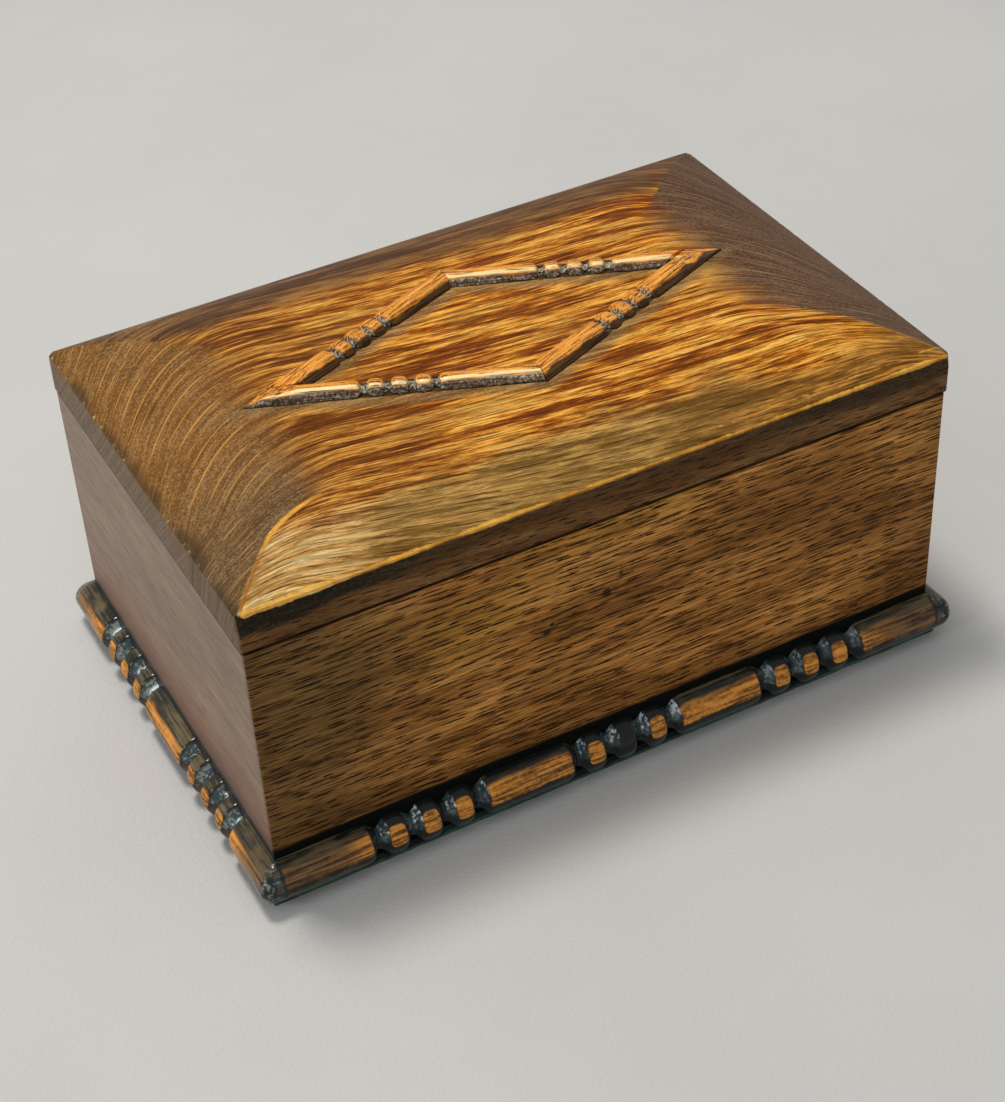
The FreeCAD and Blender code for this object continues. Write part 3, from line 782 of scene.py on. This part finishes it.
    edge_tone = oak.step(broad * 0.4 + thread * 0.6, 0.36, 0.64)
    edge = oak.ramp(edge_tone, [(0, (0.11, 0.040, 0.010)), (0.5, (0.22, 0.098, 0.028)), (1, (0.35, 0.18, 0.062))])
    edge_pores = oak.dashes(x, z + x * 0.02, 6.5, 1.5, 3.0, 0.24, slack=0.4, scatter=0.8)
    edge_pores = oak.top(edge_pores, lines * 0.45)
    edge = oak.mix(edge, (0.012, 0.006, 0.003), edge_pores * 0.9)
    band_low = tall + 5.2 - oak.step(oak.size_of(x + 4), 35, 74) * 1.9
    band = oak.step(z + (cloud - 0.5) * 5 + (thread - 0.5) * 4 - band_low, 0, 1.6) * (oak.step(oak.size_of(x + 4), 22, 58) * 0.55 + 0.40) * (1 - oak.step(x, 20, 60) * 0.25)
    edge = oak.mix(edge, oak.mix((0.010, 0.009, 0.005), (0.050, 0.043, 0.026), oak.step(mottle * 0.6 + thread * 0.4, 0.44, 0.66)), band)
    # The edge's two end faces take paler, greyer colours: the stained oak with a painted sheen.
    end_face = oak.step(oak.size_of(x), half_x - 0.5, half_x - 0.2)
    end_wood_and_sheen = oak.ramp(quiet, [(0, (0.15, 0.090, 0.048)), (0.5, (0.225, 0.145, 0.085)), (1, (0.31, 0.21, 0.135))])
    edge = oak.mix(edge, end_wood_and_sheen, end_face)
    foot = oak.step(z, tall + 0.55, tall + 0.25)
    edge = oak.mix(edge, (0.006, 0.004, 0.002), foot * 0.95)
    upright = oak.step(fall, 0.1, 0.7) * (1 - rubbed) * oak.step(z, arris_z + 0.3, arris_z - 0.2)
    wood = oak.mix(wood, edge, upright)

    under = oak.mix((0.20, 0.10, 0.04), (0.40, 0.21, 0.09), tone)
    wood = oak.mix(wood, under, inside)
    oak.wear(Base_Color=wood, Roughness=quiet * 0.14 + thread * 0.12 + 0.34)
    oak.bump(middling * 0.3 + mottle * 0.15 - lines * 0.5 - pores * 0.5 - edge_pores * upright * 0.5, 0.15)
    return oak.material


def bar_oak(name, settings, half_x, half_y, middle_y, axis_z):
    """Stained bars of the lozenge: rubbed orange on their backs, with wax in the grooves, painted shade on their south
    sides and along their feet, and on the front-left and back-right bars a painted silvery sheen and a painted crest
    highlight.
    """
    oak = Finish(name, Coat_Weight=0.12, Coat_Roughness=0.12)
    oak.surface.inputs["Specular IOR Level"].default_value = 0.12
    rubbed = tuple(settings.rubbed)
    pitch = settings.bead_pitch / MM
    reach_x, reach_y = half_x / 2, half_y / 2
    span = math.hypot(half_x, half_y)
    across_x, across_y = half_y / span, half_x / span
    side = oak.size_of(oak.x) - reach_x
    rear = oak.size_of(oak.y - middle_y) - reach_y
    run = side * across_y - rear * across_x
    out = side * across_x + rear * across_y
    south = out * (1 - oak.step(oak.y, middle_y - 0.01, middle_y + 0.01) * 2)
    rise = oak.z - axis_z
    lean = south / oak.sum("SQRT", out * out + rise * rise + 0.01)
    level_pair = oak.sum("GREATER_THAN", oak.x * (oak.y - middle_y), 0.0)
    in_group = oak.size_of(run - settings.group_shift / MM)
    last = pitch * 1.5
    beads = oak.size_of(oak.sum("FRACT", in_group / pitch + 0.5) - 0.5)
    beyond = oak.sum("GREATER_THAN", in_group, last)
    from_cove = (0.5 - beads) * pitch * (1 - beyond) + (in_group - last) * beyond
    streak = oak.noise(oak.join(run, out, rise), (10, 0.42, 0.42), 3, 0.65)
    cloud = oak.noise(oak.place, (6, 6, 4), 2, 0.5, offset=2)
    fleck = oak.noise(oak.place, (0.55, 0.55, 0.55), 2, 0.6, offset=6)
    sway = (cloud - 0.5) * 0.5 + (fleck - 0.5) * 0.25 + (streak - 0.5) * 0.35
    warm = oak.ramp(oak.step(streak * 0.8 + fleck * 0.2, 0.34, 0.66), [
        (0, darker(rubbed, 0.10)), (0.28, darker(rubbed, 0.5)), (0.52, rubbed), (1, tuple(min(1, part * 1.5 + 0.04) for part in rubbed)),
    ])
    # Painted sheen: a silvery ramp for the south sides of the front-left and back-right bars.
    silver_sheen = oak.ramp(oak.step(streak * 0.45 + fleck * 0.55, 0.36, 0.68), [
        (0, (0.022, 0.016, 0.010)), (0.4, (0.10, 0.080, 0.055)), (0.75, (0.24, 0.20, 0.15)), (1, (0.62, 0.58, 0.48)),
    ])
    # Painted shade: dark brown for the south sides of the other two bars.
    shaded_side = oak.mix((0.016, 0.010, 0.004), (0.085, 0.045, 0.016), oak.step(streak, 0.42, 0.68))
    # Each bar's south side takes the painted shade; on the front-left and back-right bars it takes the painted sheen
    # instead.
    front = oak.step(lean + sway, 0.66 - level_pair * 0.06, 0.76 - level_pair * 0.06)
    wood = oak.mix(warm, oak.mix(shaded_side, silver_sheen, level_pair), front * 0.95)
    # Painted highlight: a cream line along the crest, strong on the front-left and back-right bars, faint on the
    # others.
    crest = oak.step(oak.size_of(lean - 0.40 + sway * 0.5), 0.24, 0.08) * oak.step(streak, 0.36, 0.48)
    wood = oak.mix(wood, (1.0, 0.80, 0.40), crest * (level_pair * 0.85 + 0.08))
    groove = oak.step(from_cove + (fleck - 0.5) * 0.5, 1.05, 0.7)
    wax = oak.mix((0.035, 0.026, 0.016), (0.46, 0.43, 0.34), oak.step(fleck, 0.44, 0.60))
    wood = oak.mix(wood, wax, groove * 0.92)
    # Painted shade: near black along the foot of each bar, where it sits on the lid.
    seat_shade = oak.step(oak.z + (fleck - 0.5) * 0.4, axis_z + 0.95, axis_z + 0.6)
    wood = oak.mix(wood, (0.014, 0.010, 0.006), seat_shade * 0.9)
    oak.wear(Base_Color=wood, Roughness=fleck * 0.16 + 0.22)
    oak.bump(streak * 0.7 + fleck * 0.3, 0.12)
    return oak.material


def baize_cloth(name, green):
    """Pressed wool with a short nap."""
    cloth = Finish(name, Roughness=0.95)
    cloth.surface.inputs["Sheen Weight"].default_value = 0.3
    nap = cloth.noise(cloth.place, (0.5, 0.5, 0.5), 3, 0.7)
    cloud = cloth.noise(cloth.place, (12, 12, 12), 2, 0.5)
    # Painted shade: dark patches on the cloth's upper part, which lies under the moulding.
    patchy_shade = cloth.step(cloth.noise(cloth.place, (7, 7, 7), 2, 0.6, offset=5), 0.56, 0.44)
    tint = cloth.mix(darker(green, 0.5), green, cloth.step(nap * 0.7 + cloud * 0.3, 0.3, 0.7))
    cloth.wear(Base_Color=cloth.mix(tint, darker(green, 0.12), patchy_shade * cloth.step(cloth.z, 0.2, 0.7)))
    cloth.bump(nap, 0.3)
    return cloth.material


def floor_cloth(name, tint):
    """Pale cloth with soft cloudy tones."""
    cloth = Finish(name, Roughness=0.9)
    cloth.surface.inputs["Specular IOR Level"].default_value = 0.2
    cloud = cloth.noise(cloth.place, (120, 120, 120), 4, 0.6)
    weave = cloth.noise(cloth.place, (0.9, 0.9, 0.9), 2, 0.6)
    tone = cloth.step(cloud * 0.7 + weave * 0.3, 0.25, 0.75)
    cloth.wear(Base_Color=cloth.mix(darker(tint, 0.95), darker(tint, 1.04), tone))
    cloth.bump(weave, 0.15)
    return cloth.material


# Pieces

ROUND_COVE = (
    (0.0, 3.15), (0.35, 3.23), (0.7, 3.46), (1.0, 3.79), (1.3, 4.18), (1.6, 4.55), (1.9, 4.85), (2.25, 5.07), (2.7, 5.19)
)
NARROW_GROOVE = ((0.0, 1.40), (0.3, 1.44), (0.6, 1.62), (0.82, 1.92), (0.98, 2.2), (1.18, 2.42), (1.45, 2.56), (1.8, 2.64))


def turning_outline(half_run, group_middles, pitch, bead_count, cove, crest):
    """Places and radii along a turning, from its left end to its right."""
    points = []
    lip = cove[-1][0] * MM
    edges = [-half_run]
    for middle in group_middles:
        for index in range(bead_count + 1):
            place = middle + (index - bead_count / 2) * pitch
            points += [(place - along * MM, up * MM) for along, up in reversed(cove)]
            points += [(place + along * MM, up * MM) for along, up in cove[1:]]
            if index < bead_count:
                points.append((place + pitch / 2, crest))
        edges += [middle - bead_count / 2 * pitch - lip, middle + bead_count / 2 * pitch + lip]
    edges.append(half_run)
    for left, right in zip(edges[0::2], edges[1::2]):
        start = left + 0.9 * MM if left > -half_run else left
        stop = right - 0.9 * MM if right < half_run else right
        count = max(2, round((stop - start) / (2.0 * MM)))
        points += [(start + (stop - start) * step / count, crest) for step in range(count + 1)]
    points.sort()
    outline = [points[0]]
    for point in points[1:]:
        if point[0] - outline[-1][0] > 0.02 * MM:
            outline.append(point)
    return outline


def turned_rod(name, outline, steps):
    """A rod turned about the X axis."""
    clear_selection()
    bpy.ops.mesh.primitive_plane_add(size=0.001, location=(outline[0][0], 0, 0))
    rod = named(name)
    edit_all(rod)
    bpy.ops.mesh.merge(type="CENTER")
    here = (outline[0][0], 0.0)
    for place, radius in outline + [(outline[-1][0], 0.0)]:
        bpy.ops.mesh.extrude_region_move(
            TRANSFORM_OT_translate={"value": (place - here[0], 0, radius - here[1])}
        )
        here = (place, radius)
    bpy.ops.mesh.select_all(action="SELECT")
    bpy.ops.mesh.spin(steps=steps, angle=math.tau, center=(0, 0, 0), axis=(1, 0, 0))
    leave_edit()
    close_up(rod)
    return rod


def worn_corner(side_x, side_y, axis_x, axis_y, axis_z, radius, wear):
    """Planes that round a mitred corner of two turnings."""
    cuts = []
    diagonal = math.atan2(side_y, side_x)
    for swing in (-32, -16, 0, 16, 32):
        for rise in range(-50, 71, 15):
            a = diagonal + math.radians(swing)
            e = math.radians(rise)
            normal = Vector((math.cos(a) * math.cos(e), math.sin(a) * math.cos(e), math.sin(e)))
            furthest = max(
                normal.dot(Vector((side_x * (axis_x + radius * math.cos(t)), side_y * (axis_y + radius * math.cos(t)), axis_z + radius * math.sin(t))))
                for t in (math.radians(degrees) for degrees in range(-90, 91, 3))
            )
            depth = wear * (math.sqrt(2) * math.cos(math.radians(swing)) - 1) * math.cos(e)
            cuts.append((normal * (furthest - depth), normal))
    return cuts


class BOX_OT_stage(bpy.types.Operator):
    """Add the camera, the lamp, the even light and the floor"""
    bl_idname = "cigbox.stage"
    bl_label = "Stage"

    def execute(self, context):
        settings = context.scene.cigbox_stage
        scene = context.scene
        clear_selection()
        bpy.ops.object.camera_add(location=(-0.18123, -0.36569, 0.34876))
        camera = context.object
        camera.name = "camera"
        right = Vector((0.878646, -0.475372, -0.044753))
        up = Vector((0.328170, 0.533158, 0.779774))
        back = right.cross(up)
        turned = [list(row) for row in zip(right, up, back)]
        camera.rotation_mode = "QUATERNION"
        camera.rotation_quaternion = Matrix(turned).to_quaternion()
        camera.data.lens = settings.lens
        camera.data.sensor_width = 36
        camera.data.sensor_fit = "AUTO"
        camera.data.clip_start = 0.01
        camera.data.clip_end = 20
        scene.camera = camera

        bpy.ops.object.light_add(type="AREA", location=(-0.13, 0.22, 1.1))
        lamp = context.object
        lamp.name = "overhead_lamp"
        lamp.data.shape = "SQUARE"
        lamp.data.size = settings.lamp_size
        lamp.data.energy = settings.lamp_power
        lamp.data.color = (1.0, 0.975, 0.93)
        lamp.rotation_mode = "QUATERNION"
        lamp.rotation_quaternion = (Vector((0, 0, 0.04)) - lamp.location).to_track_quat("-Z", "Y")
        bpy.ops.object.light_add(type="AREA", location=(-0.75, -0.08, 0.42))
        window = context.object
        window.name = "window_lamp"
        window.data.shape = "SQUARE"
        window.data.size = settings.lamp_size
        window.data.energy = settings.side_power
        window.data.color = (0.88, 0.95, 1.0)
        window.rotation_mode = "QUATERNION"
        window.rotation_quaternion = (Vector((0, 0, 0.04)) - window.location).to_track_quat("-Z", "Y")

        world = scene.world or bpy.data.worlds.new("even_light")
        scene.world = world
        world.use_nodes = True
        background = world.node_tree.nodes["Background"]
        background.inputs["Color"].default_value = (0.93, 0.97, 1.0, 1)
        background.inputs["Strength"].default_value = settings.world_strength

        clear_selection()
        bpy.ops.mesh.primitive_grid_add(x_subdivisions=8, y_subdivisions=8, size=6, location=(0, 0, 0))
        floor = named("floor")
        coat(floor, floor_cloth("floor_cloth", tuple(settings.floor)))
        scene.view_settings.view_transform = "Standard"
        return {"FINISHED"}


class BOX_OT_case(bpy.types.Operator):
    """Finish the oak boards of the case"""
    bl_idname = "cigbox.case"
    bl_label = "Case boards"

    def execute(self, context):
        settings = context.scene.cigbox_panels
        long_oak = oak_side("oak_panel", settings)
        end_oak = oak_side("oak_end", settings, along_y=True)
        for node in ("front_panel", "back_panel"):
            coat(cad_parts[node], long_oak)
        for node in ("left_end", "right_end"):
            coat(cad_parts[node], end_oak)
        coat(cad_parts["bottom_panel"], plain_wood("oak_bottom", tuple(settings.raw)))
        return {"FINISHED"}


class BOX_OT_moulding(bpy.types.Operator):
    """Turn, split and mitre the moulding round the base"""
    bl_idname = "cigbox.moulding"
    bl_label = "Base moulding"

    def execute(self, context):
        settings = context.scene.cigbox_moulding
        radius = (MOULDING_HIGH.z - MOULDING_LOW.z) / 2
        axis_z = (MOULDING_HIGH.z + MOULDING_LOW.z) / 2
        axis_y = -MOULDING_LOW.y - radius
        axis_x = -LEFT_LOW.x - radius
        wall_y = -CASE_LOW.y
        wall_x = -CASE_LOW.x
        spacing = settings.group_spacing

        def turned(name, half_run, middles, seed):
            outline = turning_outline(half_run, middles, settings.bead_pitch, 3, ROUND_COVE, radius)
            rod = turned_rod(name, outline, settings.facets)
            wobble(rod, 0.007, settings.wobble, seed)
            return rod

        mitre = 0.03 * MM
        slant = math.sqrt(0.5)
        front = turned("moulding_front", axis_x + 0.012, (-spacing, 0.0, spacing), 1)
        shift(front, (0, -axis_y, axis_z))
        cuts = [((0, -wall_y, 0), (0, 1, 0))]
        for side in (-1, 1):
            cuts.append(((side * (wall_x - mitre), -wall_y, 0), (side * slant, slant, 0)))
            cuts += worn_corner(side, -1, axis_x, axis_y, axis_z, radius, settings.corner_wear)
        cuts.append(((0, 0, MOULDING_LOW.z), (0, 0, -1)))
        saw(front, cuts)

        left = turned("moulding_left", axis_y + 0.012, (-spacing / 2, spacing / 2), 2)
        turn(left, 1)
        shift(left, (-axis_x, 0, axis_z))
        cuts = [((-wall_x, 0, 0), (1, 0, 0))]
        for side in (-1, 1):
            cuts.append(((-wall_x, side * (wall_y - mitre), 0), (slant, side * slant, 0)))
            cuts += worn_corner(-1, side, axis_x, axis_y, axis_z, radius, settings.corner_wear)
        cuts.append(((0, 0, MOULDING_LOW.z), (0, 0, -1)))
        saw(left, cuts)

        long_oak = turned_oak("moulding_long_oak", settings, False, axis_y / MM, axis_z / MM)
        end_oak = turned_oak("moulding_end_oak", settings, True, axis_x / MM, axis_z / MM)
        for piece, twin_name, material in ((front, "moulding_back", long_oak), (left, "moulding_right", end_oak)):
            close_up(piece)
            shade(piece, 38)
            coat(piece, material)
            twin = copy_of(piece, twin_name)
            turn(twin, 2)
            for one in (piece, twin):
                side = one.name.split("_")[-1]
                fit(one, "case", "oak_moulding", "base_moulding_" + side)
        return {"FINISHED"}


class BOX_OT_lid(bpy.types.Operator):
    """Plane the pillow-shaped lid and let the hinges into it"""
    bl_idname = "cigbox.lid"
    bl_label = "Lid"

    def execute(self, context):
        settings = context.scene.cigbox_lid
        run, rise = settings.slope_run, settings.crown_rise
        bend = (run * run + rise * rise) / (2 * rise)
        steepest = math.asin(run / bend)
        middle = (LID_LOW + LID_HIGH) / 2
        half = (LID_HIGH - LID_LOW) / 2
        slab = blank("lid", LID_LOW, LID_HIGH)
        chance = random.Random(11)
        cuts = []
        for way, reach in (((-1, 0), half.x), ((1, 0), half.x), ((0, -1), half.y), ((0, 1), half.y)):
            out = Vector((*way, 0))
            for index in range(settings.planed_facets):
                tilt = steepest * (index + 0.75) / settings.planed_facets
                foot = out * (reach - run + bend * math.sin(tilt)) + Vector((middle.x, middle.y, LID_HIGH.z - bend * (1 - math.cos(tilt))))
                yaw = math.radians(chance.uniform(-0.12, 0.12))
                side = Vector((-out.y, out.x, 0))
                normal = out * math.sin(tilt) + Vector((0, 0, math.cos(tilt))) + side * yaw
                cuts.append((foot, normal.normalized()))
        shoulder = LID_HIGH.z - rise
        for side_x in (-1, 1):
            for side_y in (-1, 1):
                tip = Vector((middle.x + side_x * half.x, middle.y + side_y * half.y, shoulder))
                wear = settings.corner_wear * (1.7 if side_x + side_y < -1 else 1)
                for tilt in (10, 30, 50):
                    for swing in (22, 45, 68):
                        e, a = math.radians(tilt), math.radians(swing)
                        normal = Vector((side_x * math.cos(a) * math.cos(e), side_y * math.sin(a) * math.cos(e), math.sin(e)))
                        depth = wear * math.sin(2 * a) * math.cos(e - 0.35) * (1 if swing == 45 else 0.45)
                        cuts.append((tip - normal * depth, normal))
        saw(slab, cuts)
        top = 1e-5

        def upright(a, b):
            return abs(a.x - b.x) < top and abs(a.y - b.y) < top and abs(a.z - b.z) > 0.002

        select_edges(slab, upright)
        bpy.ops.mesh.bevel(offset=settings.corner, segments=3, affect="EDGES")
        leave_edit()
        select_edges(slab, lambda a, b: a.z < LID_LOW.z + top and b.z < LID_LOW.z + top)
        bpy.ops.mesh.bevel(offset=settings.lower_chamfer, segments=2, affect="EDGES")
        leave_edit()
        for side in (-1, 1):
            low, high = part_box("hinge_left_lid_leaf" if side < 0 else "hinge_right_lid_leaf")
            gap = 0.1 * MM
            plate_top = LID_LOW.z + 1.0 * MM
            cutter = blank("cutter", (low.x - gap, low.y - gap, LID_LOW.z - 0.01), (high.x + gap, high.y + 0.01, plate_top))
            cut_away(slab, cutter)
            cutter = blank(
                "cutter", (low.x - gap, LID_HIGH.y - 2.05 * MM, LID_LOW.z - 0.01), (high.x + gap, high.y + 0.01, LID_LOW.z + 1.9 * MM)
            )
            cut_away(slab, cutter)
        hips = []
        for side_x in (-1, 1):
            for side_y in (-1, 1):
                corner = Vector((middle.x + side_x * half.x, middle.y + side_y * half.y, 0))
                normal = Vector((side_x, -side_y, 0)).normalized()
                for off in (-1.4 * MM, 1.4 * MM):
                    hips.append((corner + normal * off, normal))
        saw(slab, hips, keep_both=True)
        apply_modifier(slab, "BEVEL", width=settings.arris, segments=3, limit_method="ANGLE", angle_limit=math.radians(24))
        close_up(slab)
        shade(slab, 32)
        coat(slab, lid_oak("lid_oak", settings, 51.0, 21.5))
        fit(slab, "lid", "oak_lid", "lid_slab")
        return {"FINISHED"}


class BOX_OT_lozenge(bpy.types.Operator):
    """Turn, split and mitre the four bars of the lozenge"""
    bl_idname = "cigbox.lozenge"
    bl_label = "Lozenge bars"

    def execute(self, context):
        settings = context.scene.cigbox_lozenge
        crown = BAR_LOW.z
        radius = BAR_HIGH.z - crown + settings.axis_drop
        middle_y = BAR_LOW.y
        half_x, half_y = 51.0 * MM, 21.5 * MM
        slant = math.atan2(half_y, half_x)
        half_run = math.hypot(half_x, half_y) / 2 + 4 * radius
        outline = turning_outline(half_run, (settings.group_shift,), settings.bead_pitch, 3, NARROW_GROOVE, radius)
        axis_z = crown - settings.axis_drop
        bars = []
        plans = (("back_right", 1, 1, 1.12), ("back_left", -1, 1, 1.18), ("front_left", -1, -1, 1.04), ("front_right", 1, -1, 1.24))
        for where, side_x, side_y, broad in plans:
            bar = turned_rod("lozenge_" + where, outline, 32)
            edit_all(bar)
            bpy.ops.transform.resize(value=(side_x, broad, 1))
            bpy.ops.transform.rotate(value=slant * side_x * side_y, orient_axis="Z", center_override=(0, 0, 0))
            leave_edit()
            shift(bar, (side_x * half_x / 2, side_y * half_y / 2, axis_z))
            outer = max(bar.data.vertices, key=lambda vertex: vertex.co.x * side_x).co
            if outer.y * side_y > 0:
                raise RuntimeError("bar %s leans the wrong way" % where)
            bars.append((bar, where, side_x, side_y))
        mitre = 0.1 * MM
        inner_x, outer_x = half_x - radius / math.sin(slant), half_x + radius / math.sin(slant)
        beside = Vector((-math.sin(slant), math.cos(slant), 0))
        beyond = Vector((math.sin(slant), math.cos(slant), 0))
        pared = {"back_left": (40, 0.12), "front_left": (46, 0.19), "front_right": (43, 0.12), "back_right": (44, 0.05)}
        finish = bar_oak("lozenge_oak", settings, half_x / MM, half_y / MM, middle_y / MM, axis_z / MM)
        for seed, (bar, where, side_x, side_y) in enumerate(bars):
            wobble(bar, 0.004, settings.wobble, seed + 4)
            shift(bar, (0, middle_y, 0))
            inner, outer = Vector((side_x * inner_x, middle_y, 0)), Vector((side_x * outer_x, middle_y, 0))
            along_front = Vector((beside.x * side_x, beside.y, 0))
            along_back = Vector((beyond.x * side_x, beyond.y, 0))
            if side_y > 0:
                ends = [(inner + along_front * mitre, -along_front)]
            else:
                ends = [(inner - along_front * mitre, along_front), (outer, along_back)]
            start, slope = pared[where]
            towards = Vector((side_x * math.cos(slant), -side_y * math.sin(slant), 0))
            foot = Vector((side_x * start * MM, middle_y + side_y * (half_y - start * MM * half_y / half_x), crown + radius - settings.axis_drop))
            saw(bar, ends + [
                ((side_x * mitre, 0, 0), (-side_x, 0, 0)),
                ((0, 0, crown - 0.05 * MM), (0, 0, -1)),
                (foot, (towards * slope + Vector((0, 0, 1))).normalized()),
                ((0, 0, crown + radius - settings.axis_drop), (0, 0, 1)),
            ])
            close_up(bar)
            shade(bar, 38)
            bar.name = "lozenge_" + where
            coat(bar, finish)
            fit(bar, "lid", "oak_lozenge", "lozenge_bar_" + where)
        return {"FINISHED"}


class BOX_OT_baize(bpy.types.Operator):
    """Lay the green baize under the case"""
    bl_idname = "cigbox.baize"
    bl_label = "Baize"

    def execute(self, context):
        settings = context.scene.cigbox_baize
        size = BAIZE_HIGH - BAIZE_LOW
        clear_selection()
        bpy.ops.mesh.primitive_grid_add(x_subdivisions=84, y_subdivisions=54, size=1, location=(0, 0, 0.05 * MM))
        cloth = named("baize_cloth")
        edit_all(cloth)
        bpy.ops.transform.resize(value=(size.x, size.y, 1))
        leave_edit()
        pick(cloth)
        bpy.ops.object.mode_set(mode="EDIT")
        bpy.ops.mesh.select_mode(type="VERT")
        bpy.ops.mesh.select_all(action="DESELECT")
        bpy.ops.mesh.select_non_manifold()
        bpy.ops.transform.resize(value=(0.998, 0.997, 1))
        bpy.ops.transform.vertex_random(offset=0.15 * MM, seed=3)
        leave_edit()
        for vertex in cloth.data.vertices:
            vertex.co.z = 0.05 * MM
        apply_modifier(cloth, "SOLIDIFY", thickness=settings.thickness, offset=1.0)
        close_up(cloth)
        coat(cloth, baize_cloth("baize_green", tuple(settings.green)))
        fit(cloth, "case", "baize", "baize")
        return {"FINISHED"}


class BOX_OT_lining(bpy.types.Operator):
    """Finish the cedar lining and the divider"""
    bl_idname = "cigbox.lining"
    bl_label = "Lining"

    def execute(self, context):
        cedar = tuple(context.scene.cigbox_lining.cedar)
        long_cedar = plain_wood("cedar_long", cedar)
        cross_cedar = plain_wood("cedar_cross", cedar, along="y")
        for node in ("lining_floor", "lining_front", "lining_back"):
            coat(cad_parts[node], long_cedar)
        for node in ("lining_left", "lining_right", "divider"):
            coat(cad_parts[node], cross_cedar)
        return {"FINISHED"}


class BOX_OT_hinges(bpy.types.Operator):
    """Age the brass hinges and drive their slotted screws"""
    bl_idname = "cigbox.hinges"
    bl_label = "Hinges"

    def execute(self, context):
        settings = context.scene.cigbox_hinges
        brass = aged_brass("aged_brass", tuple(settings.brass))
        for side in ("left", "right"):
            for part in ("case_leaf", "lid_leaf", "pin"):
                coat(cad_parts["hinge_%s_%s" % (side, part)], brass)
        screw_brass = aged_brass("screw_brass", tuple(settings.brass))
        for group, body in (("case_hinge_screws", "case"), ("lid_hinge_screws", "lid")):
            low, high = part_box(group)
            face = high.z if body == "case" else low.z
            outward = 1 if body == "case" else -1
            shank = 0.9 * MM
            places = [side * 50 * MM + off * MM for side in (-1, 1) for off in (-7.5, 7.5)]
            heads = []
            for index, x in enumerate(places):
                heads.append(self.screw_head(settings, x, (low.y + high.y) / 2, face, outward, index, shank, high.z - low.z))
            clear_selection()
            for head in heads:
                head.select_set(True)
            context.view_layer.objects.active = heads[0]
            bpy.ops.object.join()
            screws = context.object
            screws.name = screws.data.name = "slotted_" + group
            close_up(screws)
            shade(screws, 35)
            coat(screws, screw_brass)
            fit(screws, body, "screw_brass", group)
        return {"FINISHED"}

    def screw_head(self, settings, x, y, face, outward, index, shank, depth):
        """One slightly raised head with its slot."""
        proud = 0.11 * MM
        clear_selection()
        bpy.ops.mesh.primitive_cylinder_add(
            vertices=40, radius=settings.head_radius, depth=0.6 * MM, location=(x, y, face + outward * (proud - 0.3 * MM))
        )
        head = named("screw_head")
        tip = face + outward * proud
        select_edges(head, lambda a, b: abs(a.z - tip) < 1e-6 and abs(b.z - tip) < 1e-6)
        bpy.ops.mesh.bevel(offset=0.09 * MM, segments=2, affect="EDGES")
        leave_edit()
        half = settings.slot_width / 2
        reach = settings.head_radius * 1.3
        z0, z1 = sorted((tip - outward * 0.45 * MM, tip + outward * 0.5 * MM))
        cutter = blank("cutter", (x - reach, y - half, z0), (x + reach, y + half, z1))
        edit_all(cutter)
        bpy.ops.transform.rotate(value=math.radians(17 + 47 * index), orient_axis="Z", center_override=(x, y, face))
        leave_edit()
        cut_away(head, cutter)
        return head


class BOX_PT_panel(bpy.types.Panel):
    """Lists every piece of the box"""
    bl_idname = "BOX_PT_panel"
    bl_label = "Oak Box"
    bl_space_type = "VIEW_3D"
    bl_region_type = "UI"
    bl_category = "Oak Box"

    def draw(self, context):
        for operator, settings in STEPS:
            box = self.layout.box()
            box.operator(operator.bl_idname)
            if settings:
                group = getattr(context.scene, settings)
                for name in group.bl_rna.properties.keys():
                    if name not in ("rna_type", "name"):
                        box.prop(group, name)


SETTINGS = {
    "cigbox_stage": StageSettings,
    "cigbox_panels": PanelSettings,
    "cigbox_moulding": MouldingSettings,
    "cigbox_lid": LidSettings,
    "cigbox_lozenge": LozengeSettings,
    "cigbox_baize": BaizeSettings,
    "cigbox_lining": LiningSettings,
    "cigbox_hinges": HingeSettings,
}
STEPS = (
    (BOX_OT_stage, "cigbox_stage"),
    (BOX_OT_case, "cigbox_panels"),
    (BOX_OT_moulding, "cigbox_moulding"),
    (BOX_OT_lid, "cigbox_lid"),
    (BOX_OT_lozenge, "cigbox_lozenge"),
    (BOX_OT_baize, "cigbox_baize"),
    (BOX_OT_lining, "cigbox_lining"),
    (BOX_OT_hinges, "cigbox_hinges"),
)


def register():
    """Add the classes and the scene's settings."""
    for kind in SETTINGS.values():
        bpy.utils.register_class(kind)
    for operator, _ in STEPS:
        bpy.utils.register_class(operator)
    bpy.utils.register_class(BOX_PT_panel)
    for name, kind in SETTINGS.items():
        setattr(bpy.types.Scene, name, PointerProperty(type=kind))


def unregister():
    """Take them away again."""
    for name in SETTINGS:
        delattr(bpy.types.Scene, name)
    bpy.utils.unregister_class(BOX_PT_panel)
    for operator, _ in reversed(STEPS):
        bpy.utils.unregister_class(operator)
    for kind in SETTINGS.values():
        bpy.utils.unregister_class(kind)


def main():
    """Make every piece in order."""
    register()
    for operator, _ in STEPS:
        group, name = operator.bl_idname.split(".")
        getattr(getattr(bpy.ops, group), name)()
    clear_selection()


if __name__ == "__main__":
    main()
